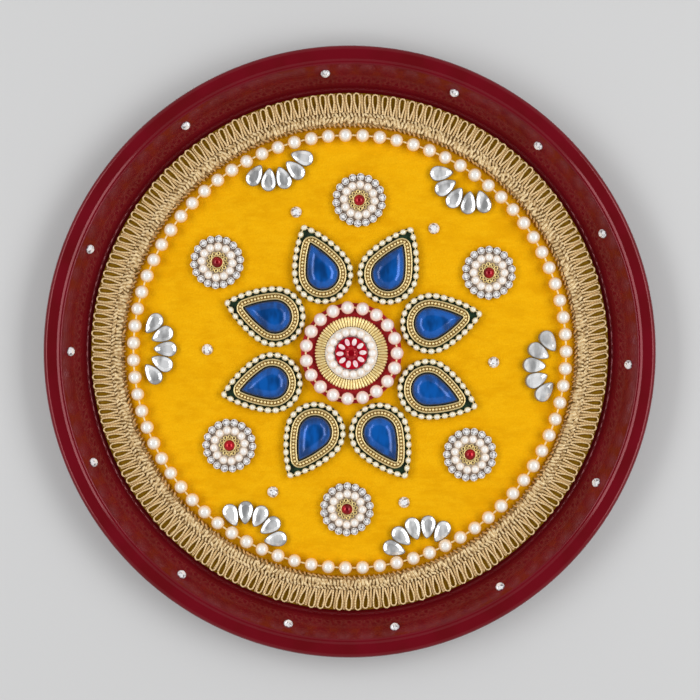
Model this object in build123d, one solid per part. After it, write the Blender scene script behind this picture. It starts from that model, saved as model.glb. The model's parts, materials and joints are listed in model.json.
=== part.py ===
from build123d import *
import os
from math import asin, cos, floor, pi, radians, sin, sqrt, tan

# A decorated puja thali in millimetres: +Z up, the origin in the middle of the underside.
# Every ornament is glued down, so the whole thali is one rigid body.

# Plate: pressed sheet with a sloping wall, a raised bead, a groove and a flat lip turned down at its edge
RIM_R = 127.0
PLATE_H = 15.0
SHEET = 0.9
WALL_SLOPE = 58
LIP_W = 4.3
LIP_FALL = 0.2
GROOVE_RUN = 1.2
GROOVE_DEPTH = 0.65
BEAD_RUN = 1.5
BEAD_RISE = 0.25
HEM_H = 2.2
CORNER_R = 2.1
GROOVE_R = 0.4
CREST_R = 0.7
LIP_R = 0.5
EDGE_R = 0.7

# Velvet disc on the floor
VELVET_T = 1.2
VELVET_GAP = 0.75

# Gold lace round the velvet: a band of two rounded rows with a fringe of cord loops
LOOP_L = 8.4
LOOP_W = 3.3
LOOP_GAP = 0.52
LOOP_T = 0.9
CORD_W = 0.85
LOOP_ROOT_W = 0.9
LOOP_ROOT_SHARE = 0.72
HEADER_W = 5.4
HEADER_BASE_T = 0.3
HEADER_SEAM = 0.2

# Pearl strings
PEARL_D = 5.5
PEARL_GAP = 1.65
STRING_GAP = 1.5
THREAD_D = 0.6
BORE_GAP = 0.2

# Petals: a teardrop stone in a beaded gold border, edged with a bead chain on felt
PETAL_TILTS = (-9, -4, 5, 12, -7, -8, 12, 4)
PETAL_START = 20
PETAL_PLACE_SHARES = (1.0, 1.03, 1.0, 1.0, 1.0, 1.03, 1.0, 1.0)
PETAL_GAP = 1.2
PIVOT_SHARE = 0.33
SIDE_SHARE = 2.0
FELT_T = 1.0
FELT_EDGE = 0.9
STONE_L = 20.3
STONE_W = 13.4
STONE_TIP_R = 0.5
STONE_H = 4.2
GIRDLE_H = 1.8
TABLE_IN = 3.2
CROWN_SHARES = ((0.30, 0.62), (1.0, 1.0))
STONE_GAP = 0.4
BEZEL_W = 2.9
BEZEL_H = 2.3
BEZEL_FLOOR = 1.3
BEZEL_TIP_R = 3.8
RAIL_W = 0.65
BALL_D = 1.15
BALL_GAP = 0.25
CHAIN_GAP = 0.45
CHAIN_TIP_R = 0.7
BEAD_D = 2.5
BEAD_L = 2.9
BEAD_GAP = 0.3
CHAIN_THREAD_D = 0.4
CHAIN_BORE_GAP = 0.32

# Medallion in the middle of the petals, glued a little right of the plate's axis
FLOWER_X = 1.0
MEDALLION_GAP = 0.6
MEDALLION_FELT_OVER = 2.0
MEDALLION_PEARL_GAP = 0.8
FLUTE_GAP = 0.95
FLUTE_W = 4.4
FLUTE_BASE_T = 1.3
FLUTE_PITCH = 0.87
FLUTE_SHARE = 0.44
MOULD_GAP = 0.15
MOULD_PEARLS = 17
MOULD_PEARL_D = 3.85
MOULD_BASE_W = 3.0
MOULD_BASE_T = 1.4
ENAMEL_T = 2.4
ENAMEL_PETALS = 10
ENAMEL_PETAL_T = 0.3
ENAMEL_PETAL_SHARE = 0.62
ENAMEL_GAP = 0.5
RED_STONE_D = 5.4
RED_STONE_H = 1.9

# Rosettes: set crystals and seed pearls round a gold cap with a red stone
ROSETTE_ANGLES = (29.5, 86.4, 146, 218, 269, 319.4)
ROSETTE_PLACE_SHARES = (0.740, 0.702, 0.740, 0.707, 0.730, 0.733)
ROSETTE_SEEDS = 12
SEED_D = 3.3
ROSETTE_SEED_GAP = 0.05
ROSETTE_BASE_T = 0.8
ROSETTE_BASE_OVER = 0.9
CUP_D = 3.0
CUP_H = 1.5
CUP_WALL = 0.22
CUP_FLOOR = 0.5
CUP_GAP = 0.35
CUP_SEED_GAP = 0.15
PRONG_PAIRS = 2
PRONG_W = 0.5
PRONG_H = 0.35
SET_GAP = 0.04
CAP_GAP = 0.2
CAP_T = 0.5
CAP_EYES = 6
CAP_EYE_D = 2.4
CAP_HOLE_D = 1.0
CAP_TURN = 12
COLLAR_D = 5.2
COLLAR_H = 0.8
CABOCHON_D = 4.2
CABOCHON_H = 1.9

# Fans of five clear drops round centres near the pearl border, each with a single crystal before it
FAN_ANGLES = (55.6, 111, 179.2, 241.3, 289.8, 355.7)
FAN_PLACE_SHARES = (1.011, 1.009, 1.001, 1.018, 1.019, 1.003)
FAN_CRYSTAL_SHARES = (0.691, 0.692, 0.660, 0.742, 0.743, 0.669)
FAN_R = 13.15
FAN_DROPS = 5
DROP_L = 10.1
DROP_W = 6.4
DROP_TIP_R = 0.9
DROP_SIDE_SHARE = 1.0
DROP_GIRDLE = 1.9
DROP_H = 2.6
DROP_TABLE_IN = 1.5
DROP_CROWN_SHARES = ((1.0, 1.0),)
DROP_GAP = 0.35

# Faceted crystals on the velvet and on the plate's wall
FACETS = 8
CRYSTAL_D = 4.6
CRYSTAL_H = 2.0
WALL_CRYSTAL_ANGLES = (25, 47.5, 68, 95, 126, 158.5, 180, 203.4, 233, 257.3, 279.3, 302.6, 332, 357.3)
WALL_CRYSTAL_D = 3.8
WALL_CRYSTAL_H = 1.6
WALL_PLACE_SHARE = 0.68
WALL_GLUE = 0.05
GIRDLE_SHARE = 0.3
TABLE_SHARE = 0.56

# Places that follow from the sizes above
slope = radians(WALL_SLOPE)
lip_z = PLATE_H - SHEET
crest_z = lip_z + BEAD_RISE
crest_r = RIM_R - LIP_W - GROOVE_RUN - BEAD_RUN
corner_r = crest_r - crest_z / tan(slope)
floor_r = corner_r - (CORNER_R + SHEET) * tan(slope / 2)
velvet_r = floor_r - VELVET_GAP
field_z = SHEET + VELVET_T

header_out_r = velvet_r - LOOP_L
header_in_r = header_out_r - HEADER_W
border_r = header_in_r - STRING_GAP - PEARL_D / 2

bezel_in = STONE_GAP
bezel_out = STONE_GAP + BEZEL_W
chain_out = bezel_out + CHAIN_GAP + BEAD_D / 2
petal_half_w = STONE_W / 2 + chain_out + BEAD_D / 2
petal_r = (petal_half_w + PETAL_GAP / 2) / sin(pi / len(PETAL_TILTS))
pivot_x = PIVOT_SHARE * (STONE_L - STONE_W)

medallion_pearl_r = petal_r - petal_half_w - MEDALLION_GAP - PEARL_D / 2
flute_out_r = medallion_pearl_r - PEARL_D / 2 - FLUTE_GAP
flute_in_r = flute_out_r - FLUTE_W
mould_r = flute_in_r - MOULD_GAP - MOULD_PEARL_D / 2
enamel_r = mould_r - MOULD_PEARL_D / 2 - MOULD_GAP

rosette_seed_r = (SEED_D + ROSETTE_SEED_GAP) / (2 * sin(pi / ROSETTE_SEEDS))
cup_ring_r = rosette_seed_r + SEED_D / 2 + CUP_SEED_GAP + CUP_D / 2
cap_r = rosette_seed_r - SEED_D / 2 - CAP_GAP


def ring(count, radius, z=0, start=0):
    """Places spaced evenly on a circle, each with its X axis pointing outward."""
    return [polar(radius, start + 360 * i / count, z) for i in range(count)]


def polar(radius, angle, z=0):
    """A place at an angle on a circle, with its X axis pointing outward."""
    turn = radians(angle)
    return Location((radius * cos(turn), radius * sin(turn), z), (0, 0, angle))


def count_on(radius, pitch):
    """How many pieces of a pitch fit round a circle."""
    return floor(2 * pi * radius / pitch)


def copies(places, solid):
    return Compound([place * solid for place in places])


def prism(outline, height):
    return extrude(outline, height, dir=(0, 0, 1))


def disc(radius, height, z=0):
    return Pos(0, 0, z) * prism(Circle(radius), height).solid()


def tube(outer_r, inner_r, height):
    return prism(Circle(outer_r) - Circle(inner_r), height)


def teardrop_edges(length, width, grow=0, side_share=SIDE_SHARE):
    """The sides and the round end of a pear outline about the end's centre, tip along +X, grown evenly outward."""
    end_r = width / 2
    reach = length - end_r
    side_r = side_share * length
    lean = asin((2 * side_r * end_r - end_r**2 - reach**2) / (2 * reach * (side_r - end_r)))
    heart = Vector(-sin(lean), -cos(lean)) * (side_r - end_r)
    round_r = end_r + grow
    bow_r = side_r + grow
    touch = Vector(sin(lean), cos(lean)) * round_r
    tip = Vector(heart.X + sqrt(bow_r**2 - heart.Y**2), 0)
    middle = heart + ((touch - heart).normalized() + (tip - heart).normalized()).normalized() * bow_r
    upper = Edge.make_three_point_arc(touch, middle, tip)
    lower = upper.mirror(Plane.XZ)
    back = Edge.make_three_point_arc(touch, Vector(-round_r, 0), Vector(touch.X, -touch.Y))
    return upper, back, lower


def teardrop(length, width, tip_r, grow=0, side_share=SIDE_SHARE):
    """A pear face with its tip rounded."""
    face = Face(Wire(teardrop_edges(length, width, grow, side_share)))
    return face.fillet_2d(tip_r, [face.vertices().sort_by(Axis.X)[-1]])


def along(wire, pitch, z):
    """Places spaced evenly along a closed wire from its tip, each with its X axis on the wire's direction."""
    count = floor(wire.length / pitch)
    lift = Vector(0, 0, z)
    tip = wire.param_at_point(Vector(wire.bounding_box().max.X, 0))
    stops = [(tip + i / count) % 1 for i in range(count)]
    return [Plane((wire @ stop) + lift, x_dir=wire % stop, z_dir=(0, 0, 1)).location for stop in stops]


def pear_stone(length, width, tip_r, girdle, height, table_in, shares, side_share=SIDE_SHARE):
    """A flat-backed pear stone: an upright girdle under a crown that closes in to a flat table."""
    base = teardrop(length, width, tip_r, 0, side_share)
    levels = [Pos(0, 0, girdle) * base]
    for inset_share, rise_share in shares:
        top = teardrop(length, width, tip_r, -table_in * inset_share, side_share)
        levels.append(Pos(0, 0, girdle + (height - girdle) * rise_share) * top)
    return (prism(base, girdle) + loft(levels)).solid()


def crystal(diameter, height):
    """A flat-backed faceted stone: a girdle under a ring of facets and a flat table."""
    outline = RegularPolygon(diameter / 2, FACETS)
    table = RegularPolygon(diameter / 2 * TABLE_SHARE, FACETS)
    girdle = height * GIRDLE_SHARE
    crown = loft([Pos(0, 0, girdle) * outline, Pos(0, 0, height) * table], ruled=True)
    return (prism(outline, girdle) + crown).solid()


def cabochon(diameter, height):
    """A round domed stone with a flat back."""
    edge_r = diameter / 2
    dome_r = (edge_r**2 + height**2) / (2 * height)
    half_turn = asin(edge_r / dome_r) / 2
    shoulder = (dome_r * sin(half_turn), height - dome_r * (1 - cos(half_turn)))
    arc = ThreePointArc((edge_r, 0), shoulder, (0, height))
    outline = make_face([arc, Line((0, height), (0, 0)), Line((0, 0), (edge_r, 0))])
    return revolve(Plane.XZ * outline, Axis.Z).solid()


def bored_pearl():
    """A pearl with its bore along Y."""
    bore = Cylinder(THREAD_D / 2 + BORE_GAP, PEARL_D, rotation=(90, 0, 0))
    return (Sphere(PEARL_D / 2) - bore).solid()


def thali_plate():
    """The sheet's underside line, thickened upward and revolved."""
    groove_r = crest_r + BEAD_RUN
    lip_in_r = groove_r + GROOVE_RUN
    edge_z = lip_z - LIP_FALL
    points = (
        (0, 0),
        (corner_r, 0),
        (crest_r, crest_z),
        (groove_r, lip_z - GROOVE_DEPTH),
        (lip_in_r, lip_z),
        (RIM_R - SHEET, edge_z),
        (RIM_R - SHEET, edge_z - HEM_H),
    )
    bends = (CORNER_R + SHEET, CREST_R, GROOVE_R + SHEET, LIP_R, EDGE_R)
    underside = FilletPolyline(*points, radius=bends).wire()
    section = Face(underside.offset_2d(SHEET, side=Side.LEFT))
    return revolve(Plane.XZ * section, Axis.Z).solid()


def lace_header():
    """Two rounded rows side by side on a thin band."""
    row_r = HEADER_W / 4
    middle_r = header_in_r + 2 * row_r
    top = HEADER_BASE_T + row_r
    spots = ((header_in_r, HEADER_BASE_T), (header_in_r, 0), (header_out_r, 0), (header_out_r, HEADER_BASE_T))
    outer = ThreePointArc(spots[-1], (middle_r + row_r, top), (middle_r, HEADER_BASE_T))
    inner = ThreePointArc((middle_r, HEADER_BASE_T), (middle_r - row_r, top), spots[0])
    section = make_face([Polyline(*spots), outer, inner])
    return Pos(0, 0, field_z) * revolve(Plane.XZ * section, Axis.Z).solid()


def hairpin(root_r, root_half_w, bend_r, half_w, angle):
    """Corner points of one loop's outline: root, bend, tip, bend, root."""
    turn = Location((0, 0, 0), (0, 0, angle))
    spots = (
        (root_r, -root_half_w),
        (bend_r, -half_w),
        (bend_r + half_w, 0),
        (bend_r, half_w),
        (root_r, root_half_w),
    )
    return [(turn * Pos(x, y)).position for x, y in spots]


def hairpin_edges(points):
    first, start, tip, end, last = points
    return [
        Edge.make_line(first, start),
        Edge.make_three_point_arc(start, tip, end),
        Edge.make_line(end, last),
    ]


def lace_loops():
    """A fringe of cord loops on a stitched root, as one holed face."""
    root_in_r = header_out_r + HEADER_SEAM
    root_r = root_in_r + LOOP_ROOT_W
    bend_r = velvet_r - LOOP_W / 2
    half_w = LOOP_W / 2
    root_half_w = half_w * LOOP_ROOT_SHARE
    count = count_on(bend_r, LOOP_W + LOOP_GAP)
    outline = []
    holes = [Wire.make_circle(root_in_r)]
    angles = [360 * i / count for i in range(count)]
    loops = [hairpin(root_r, root_half_w, bend_r, half_w, angle) for angle in angles]
    for loop, following in zip(loops, loops[1:] + loops[:1]):
        outline += hairpin_edges(loop) + [Edge.make_line(loop[-1], following[0])]
    for angle in angles:
        inside = hairpin(root_r, root_half_w - CORD_W / 2, bend_r, half_w - CORD_W, angle)
        holes.append(Wire(hairpin_edges(inside) + [Edge.make_line(inside[-1], inside[0])]))
    return Pos(0, 0, field_z) * prism(Face(Wire(outline), holes), LOOP_T).solid()


def pearl_string(radius, pitch, z):
    """Bored pearls on a circle and the thread that runs through them all."""
    centre_z = z + PEARL_D / 2
    pearls = copies(ring(count_on(radius, pitch), radius, centre_z), bored_pearl())
    return pearls, Pos(0, 0, centre_z) * Torus(radius, THREAD_D / 2).solid()


def bezel():
    """A gold border with two rails and a row of balls between them, in one piece."""
    outer = teardrop(STONE_L, STONE_W, BEZEL_TIP_R, bezel_out)
    inner = teardrop(STONE_L, STONE_W, STONE_TIP_R, bezel_in)
    trough_out = teardrop(STONE_L, STONE_W, BEZEL_TIP_R - RAIL_W, bezel_out - RAIL_W)
    trough_in = teardrop(STONE_L, STONE_W, STONE_TIP_R + RAIL_W, bezel_in + RAIL_W)
    middle = teardrop(STONE_L, STONE_W, BEZEL_TIP_R - BEZEL_W / 2, bezel_out - BEZEL_W / 2)
    trough = Pos(0, 0, BEZEL_FLOOR) * prism(trough_out - trough_in, BEZEL_H - BEZEL_FLOOR)
    border = prism(outer - inner, BEZEL_H) - trough
    places = along(middle.outer_wire(), BALL_D + BALL_GAP, BEZEL_FLOOR)
    return border.fuse(*[place * Sphere(BALL_D / 2) for place in places]).solid()


def chain_bead():
    """A barrel bead with its bore along X."""
    bore_r = CHAIN_THREAD_D / 2 + CHAIN_BORE_GAP
    below = Pos(0, bore_r - BEAD_D / 2) * Rectangle(BEAD_L, BEAD_D)
    return revolve(Ellipse(BEAD_L / 2, BEAD_D / 2) - below, Axis.X).solid()


def chain_thread():
    """The thread through a petal's beads, which starts and ends at the bead on the tip."""
    upper, back, lower = teardrop_edges(STONE_L, STONE_W, chain_out)
    stop = 1 - (BEAD_L + BEAD_GAP) / 2 / upper.length
    sides = upper.trim(0, stop), lower.trim(0, stop)
    path = Wire([sides[0], back, sides[1]])
    start = Plane(path @ 0, z_dir=path % 0)
    return sweep(start * Circle(CHAIN_THREAD_D / 2), path=path).solid()


def moulded_pearls():
    """A ring of pearls moulded in one piece with their base."""
    base = tube(mould_r + MOULD_BASE_W / 2, mould_r - MOULD_BASE_W / 2, MOULD_BASE_T)
    places = ring(MOULD_PEARLS, mould_r, MOULD_PEARL_D / 2)
    return base.fuse(*[place * Sphere(MOULD_PEARL_D / 2) for place in places]).solid()


def petal_pieces():
    """One petal's pieces about its turning point, standing on the velvet at height zero."""
    chain_line = teardrop(STONE_L, STONE_W, CHAIN_TIP_R, chain_out).outer_wire()
    felt_outline = teardrop(STONE_L, STONE_W, CHAIN_TIP_R + FELT_EDGE, chain_out + FELT_EDGE)
    felt = prism(felt_outline, FELT_T).solid()
    stone = pear_stone(STONE_L, STONE_W, STONE_TIP_R, GIRDLE_H, STONE_H, TABLE_IN, CROWN_SHARES)
    bead_z = FELT_T + BEAD_D / 2
    beads = copies(along(chain_line, BEAD_L + BEAD_GAP, bead_z), chain_bead())
    thread = Pos(0, 0, bead_z) * chain_thread()
    back = Pos(-pivot_x, 0, 0)
    on_felt = Pos(-pivot_x, 0, FELT_T)
    return {
        "felt": back * felt,
        "thread": back * thread,
        "chain": back * beads,
        "bezel": on_felt * bezel(),
        "stone": on_felt * stone,
    }


def petal_places():
    step = 360 / len(PETAL_TILTS)
    flower = Pos(FLOWER_X, 0, field_z)
    places = []
    for i, (tilt, share) in enumerate(zip(PETAL_TILTS, PETAL_PLACE_SHARES)):
        places.append(flower * polar(petal_r * share + pivot_x, PETAL_START + step * i) * Rot(0, 0, tilt))
    return places


def fluted_ring():
    """A gold ring with a rounded radial rib at each step."""
    count = round(2 * pi * (flute_in_r + FLUTE_W / 2) / FLUTE_PITCH)
    in_rib_r = 2 * pi * flute_in_r / count * FLUTE_SHARE
    out_rib_r = 2 * pi * flute_out_r / count * FLUTE_SHARE
    rib = Pos(flute_in_r + FLUTE_W / 2, 0, FLUTE_BASE_T) * Cone(
        in_rib_r, out_rib_r, FLUTE_W - 2 * out_rib_r, rotation=(0, 90, 0)
    )
    turns = [Rot(0, 0, 360 * i / count) for i in range(count)]
    base = tube(flute_out_r, flute_in_r, FLUTE_BASE_T)
    return base.fuse(*[turn * rib for turn in turns]).solid()


def medallion_nodes():
    flower = Pos(FLOWER_X, 0, field_z)
    on_felt = flower * Pos(0, 0, FELT_T)
    on_enamel = on_felt * Pos(0, 0, ENAMEL_T)
    pearls, thread = pearl_string(medallion_pearl_r, PEARL_D + MEDALLION_PEARL_GAP, 0)
    red_r = RED_STONE_D / 2
    petal_l = enamel_r - red_r - 2 * ENAMEL_GAP
    enamel_petal = prism(Ellipse(petal_l / 2, petal_l / 2 * ENAMEL_PETAL_SHARE), ENAMEL_PETAL_T).solid()
    enamel_places = ring(ENAMEL_PETALS, (enamel_r + red_r) / 2)
    return {
        "medallion_felt": flower * disc(medallion_pearl_r + MEDALLION_FELT_OVER, FELT_T),
        "medallion_pearls": on_felt * pearls,
        "medallion_thread": on_felt * thread,
        "medallion_fluted_ring": on_felt * fluted_ring(),
        "medallion_inner_pearls": on_felt * moulded_pearls(),
        "medallion_enamel_disc": on_felt * disc(enamel_r, ENAMEL_T),
        "medallion_enamel_petals": on_enamel * copies(enamel_places, enamel_petal),
        "medallion_red_stone": on_enamel * crystal(RED_STONE_D, RED_STONE_H),
    }


def crystal_cup():
    """A stone cup with a floor, a thin wall and pairs of prongs."""
    outer_r = CUP_D / 2
    inner_r = outer_r - CUP_WALL
    wall = tube(outer_r, inner_r, CUP_H)
    tall_wall = tube(outer_r, inner_r, CUP_H + PRONG_H)
    bar = Pos(0, 0, CUP_H) * Box(CUP_D, PRONG_W, 2 * PRONG_H)
    turns = [Rot(0, 0, 180 * i / PRONG_PAIRS) for i in range(PRONG_PAIRS)]
    prongs = [tall_wall & (turn * bar) for turn in turns]
    return (prism(Circle(outer_r), CUP_FLOOR) + wall).fuse(*prongs).solid()


def gold_cap():
    """A pierced flower cap in two layers under a collar for the red stone."""
    eye_ring_r = cap_r - CAP_EYE_D / 2
    eyes = [place * Circle(CAP_EYE_D / 2) for place in ring(CAP_EYES, eye_ring_r)]
    holes = [place * Circle(CAP_HOLE_D / 2) for place in ring(CAP_EYES, eye_ring_r)]
    flower = Circle(COLLAR_D / 2) + eyes - holes
    layer = prism(flower, CAP_T)
    collar = Pos(0, 0, 2 * CAP_T) * tube(COLLAR_D / 2, CABOCHON_D / 2 + SET_GAP, COLLAR_H)
    return (Rot(0, 0, CAP_TURN) * layer + Pos(0, 0, CAP_T) * layer + collar).solid()


def rosette_places():
    spots = zip(ROSETTE_ANGLES, ROSETTE_PLACE_SHARES)
    return [polar(border_r * share, angle, field_z) for angle, share in spots]


def rosette_nodes():
    places = rosette_places()
    on_base = Pos(0, 0, ROSETTE_BASE_T)
    cup_spots = ring(count_on(cup_ring_r, CUP_D + CUP_GAP), cup_ring_r)
    set_stone = crystal(CUP_D - 2 * (CUP_WALL + SET_GAP), CUP_H)
    stones = on_base * Pos(0, 0, CUP_FLOOR) * copies(cup_spots, set_stone)
    seeds = on_base * copies(ring(ROSETTE_SEEDS, rosette_seed_r, SEED_D / 2), Sphere(SEED_D / 2).solid())
    base = disc(cup_ring_r + ROSETTE_BASE_OVER, ROSETTE_BASE_T)
    cup = crystal_cup()
    red = on_base * Pos(0, 0, 2 * CAP_T) * cabochon(CABOCHON_D, CABOCHON_H)
    nodes = {
        "rosette_bases": copies(places, base),
        "rosette_cups": copies([place * on_base * spot for place in places for spot in cup_spots], cup),
        "rosette_caps": copies(places, on_base * gold_cap()),
        "rosette_red_stones": copies(places, red),
    }
    for number, place in enumerate(places, 1):
        nodes[f"rosette_{number}_crystals"] = place * stones
        nodes[f"rosette_{number}_pearls"] = place * seeds
    return nodes


def fan_drops():
    """Fans of pear stones with their tips towards each fan's centre near the pearl border."""
    back = (DROP_L - DROP_W) / 2
    step = 2 * asin((DROP_W + DROP_GAP) / 2 / (FAN_R + back)) * 180 / pi
    drop = pear_stone(
        DROP_L, DROP_W, DROP_TIP_R, DROP_GIRDLE, DROP_H, DROP_TABLE_IN, DROP_CROWN_SHARES, DROP_SIDE_SHARE
    )
    places = []
    for angle, share in zip(FAN_ANGLES, FAN_PLACE_SHARES):
        centre = polar(border_r * share, angle, field_z)
        for i in range(FAN_DROPS):
            lean = 180 + step * (i - (FAN_DROPS - 1) / 2)
            places.append(centre * polar(FAN_R + back, lean) * Rot(0, 0, 180))
    return copies(places, drop)


def field_crystals():
    spots = zip(FAN_ANGLES, FAN_CRYSTAL_SHARES)
    return copies(
        [polar(border_r * share, angle, field_z) for angle, share in spots],
        crystal(CRYSTAL_D, CRYSTAL_H),
    )


def wall_crystals():
    """Crystals flat on the sloping wall, facing inward and up."""
    climb = crest_z * WALL_PLACE_SHARE
    lift = SHEET + WALL_GLUE
    spot_r = corner_r + climb / tan(slope) - lift * sin(slope)
    spot_z = climb + lift * cos(slope)
    tip_over = Rot(0, -WALL_SLOPE, 0)
    places = [polar(spot_r, angle, spot_z) * tip_over for angle in WALL_CRYSTAL_ANGLES]
    return copies(places, crystal(WALL_CRYSTAL_D, WALL_CRYSTAL_H))


def petal_nodes():
    pieces = petal_pieces()
    places = petal_places()
    nodes = {
        "petal_felts": copies(places, pieces["felt"]),
        "petal_threads": copies(places, pieces["thread"]),
    }
    for number, place in enumerate(places, 1):
        for name in ("chain", "bezel", "stone"):
            nodes[f"petal_{number}_{name}"] = place * pieces[name]
    return nodes


def thali_nodes():
    pearls, thread = pearl_string(border_r, PEARL_D + PEARL_GAP, field_z)
    return {
        "thali_plate": thali_plate(),
        "velvet_disc": disc(velvet_r, VELVET_T, SHEET),
        "lace_header": lace_header(),
        "lace_loops": lace_loops(),
        "border_pearls": pearls,
        "border_thread": thread,
        **medallion_nodes(),
        **petal_nodes(),
        **rosette_nodes(),
        "clear_drops": fan_drops(),
        "field_crystals": field_crystals(),
        "wall_crystals": wall_crystals(),
    }


os.makedirs("parts", exist_ok=True)
for name, shape in thali_nodes().items():
    export_step(shape, f"parts/{name}.step")
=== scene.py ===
import json
from math import asin, atan2, cos, degrees, floor, pi, radians, sin, sqrt, tan

import bmesh
import bpy
import numpy as np
from mathutils import Matrix, Vector
from mathutils.noise import noise as mathutils_noise

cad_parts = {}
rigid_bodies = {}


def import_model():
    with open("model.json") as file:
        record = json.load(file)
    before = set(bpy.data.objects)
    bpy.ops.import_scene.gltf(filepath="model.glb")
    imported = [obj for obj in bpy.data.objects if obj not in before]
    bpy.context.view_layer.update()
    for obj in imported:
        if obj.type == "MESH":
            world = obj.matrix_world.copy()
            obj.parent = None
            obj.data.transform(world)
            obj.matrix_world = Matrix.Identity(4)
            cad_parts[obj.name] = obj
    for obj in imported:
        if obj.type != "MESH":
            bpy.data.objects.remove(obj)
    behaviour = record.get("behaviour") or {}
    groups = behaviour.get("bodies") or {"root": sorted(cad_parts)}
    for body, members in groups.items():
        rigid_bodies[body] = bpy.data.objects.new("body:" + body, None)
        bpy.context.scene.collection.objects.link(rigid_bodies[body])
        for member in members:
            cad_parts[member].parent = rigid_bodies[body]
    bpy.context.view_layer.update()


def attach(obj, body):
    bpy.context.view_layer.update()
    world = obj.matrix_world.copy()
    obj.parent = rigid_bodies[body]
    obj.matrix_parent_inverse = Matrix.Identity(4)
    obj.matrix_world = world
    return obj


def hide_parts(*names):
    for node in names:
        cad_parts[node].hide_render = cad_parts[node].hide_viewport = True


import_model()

# A decorated puja thali in metres: +Z up, the origin in the middle of the underside

# Plate
RIM_R = 0.127
PLATE_H = 0.015
SHEET = 0.0009
WALL_SLOPE = radians(58)
LIP_W = 0.0043
LIP_FALL = 0.0002
GROOVE_RUN = 0.0015
GROOVE_DEPTH = 0.0002
BEAD_RUN = 0.0012
BEAD_RISE = 0.00025
HEM_H = 0.0022
CORNER_R = 0.0021
GROOVE_R = 0.0002
CREST_R = 0.0003
LIP_R = 0.0005
EDGE_R = 0.0010
FOOT_SHADE_W = 0.0014
PLATE_SIDES = 288
BEND_STEPS = 8

# Velvet disc
VELVET_T = 0.0012
VELVET_GAP = 0.00075
VELVET_EDGE_R = 0.0004
VELVET_WAVE = 0.00006

# Gold lace
LOOP_L = 0.0084
LOOP_PITCH = 0.00382
LOOP_EDGE_GAP = 0.0015
LOOP_W = 0.0023
CORD_W = 0.00066
LACE_TURN = 0.0011
CORD_SIDES = 6
LOOP_STEPS = 6
ROOT_SHARE = 0.32
ROOT_SWELL_SHARE = 0.40
UNDER_SHARE = 0.95
UNDER_WIDTH_SHARE = 0.30
HEADER_W = 0.0054
BAND_T = 0.0004
STITCH_L = 0.0034
STITCH_W = 0.00135
STITCH_PITCH = 0.00150
STITCH_IN = 0.0024
SEAM_L = 0.0023
SEAM_W = 0.0010
SEAM_PITCH = 0.0016
SEAM_IN = 0.0009
PICOT_L = 0.0022
PICOT_W = 0.0008
PICOT_PITCH = 0.0021
PICOT_OUT = 0.0001

# Pearl strings
PEARL_D = 0.0055
PEARL_GAP = 0.00165
STRING_GAP = 0.0015
THREAD_D = 0.0007
THREAD_TWIST = 0.0016
PEARL_HOLE_SHARE = 0.16

# Petals
PETAL_TILTS = (-9, -2, 2, 9, -6, -5, 11, 5)
PETAL_PLACE_SHARES = (1.0, 1.03, 1.0, 1.0, 1.0, 1.03, 1.0, 1.0)
PETAL_START = 20
PETAL_GAP = 0.0012
PIVOT_SHARE = 0.33
SIDE_SHARE = 2.0
FELT_T = 0.0010
FELT_EDGE = 0.0009
STONE_L = 0.0203
STONE_W = 0.0134
STONE_TIP_R = 0.0005
STONE_H = 0.0042
GIRDLE_H = 0.0018
TABLE_IN = 0.0032
CROWN_IN_SHARE = 0.30
CROWN_RISE_SHARE = 0.62
STONE_FACETS = 12
STONE_EDGE = 0.00028
STONE_GAP = 0.0004
BEZEL_W = 0.0029
BEZEL_H = 0.0023
BEZEL_FLOOR = 0.0013
BEZEL_TIP_R = 0.0038
RAIL_W = 0.00065
BALL_D = 0.00125
BALL_GAP = 0.00015
BALL_SEAT_SHARE = 1 / 3
CHAIN_GAP = 0.00045
CHAIN_TIP_R = 0.0007
BEAD_D = 0.0025
BEAD_L = 0.0029
BEAD_GAP = 0.0003
CHAIN_THREAD_D = 0.0004
PATH_STEPS = 240

# Medallion
FLOWER_X = 0.0007
FLOWER_Y = -0.0007
MEDALLION_GAP = 0.0006
MEDALLION_FELT_OVER = 0.0020
MEDALLION_PEARL_GAP = 0.0008
FLUTE_GAP = 0.00095
FLUTE_W = 0.0044
FLUTE_BASE_T = 0.0013
FLUTE_PITCH = 0.00116
FLUTE_SHARE = 0.43
MOULD_GAP = 0.00015
MOULD_PEARLS = 17
MOULD_PEARL_D = 0.00385
MOULD_BASE_W = 0.0041
MOULD_BASE_T = 0.0014
ENAMEL_T = 0.0024
ENAMEL_EDGE_R = 0.0003
ENAMEL_PETALS = 10
ENAMEL_PETAL_T = 0.0003
ENAMEL_PETAL_SHARE = 0.62
ENAMEL_GAP = 0.0005
ENAMEL_TURN = 3
RED_STONE_D = 0.0054
RED_STONE_H = 0.0019

# Rosettes
ROSETTE_ANGLES = (29.5, 86.4, 146, 218, 269, 319.4)
ROSETTE_PLACE_SHARES = (0.740, 0.702, 0.740, 0.707, 0.730, 0.733)
ROSETTE_TURNS = (5, 12, -4, 20, 8, 0)
ROSETTE_SEEDS = 12
SEED_D = 0.0033
ROSETTE_SEED_GAP = 0.00005
SEED_OVER = 0.00025
ROSETTE_BASE_T = 0.0008
ROSETTE_BASE_OVER = 0.0009
CUP_D = 0.0030
CUP_H = 0.0015
CUP_WALL = 0.00022
CUP_FLOOR = 0.0005
CUP_GAP = 0.00035
CUP_SEED_GAP = 0.00015
PRONG_W = 0.0005
PRONG_H = 0.00035
SET_GAP = 0.00004
CAP_GAP = 0.0002
CAP_T = 0.0005
CAP_EYES = 6
CAP_EYE_D = 0.00195
CAP_WIRE = 0.00058
CAP_TURN = radians(30)
COLLAR_D = 0.0055
COLLAR_H = 0.0008
CABOCHON_D = 0.0046
CABOCHON_H = 0.0019

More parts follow.
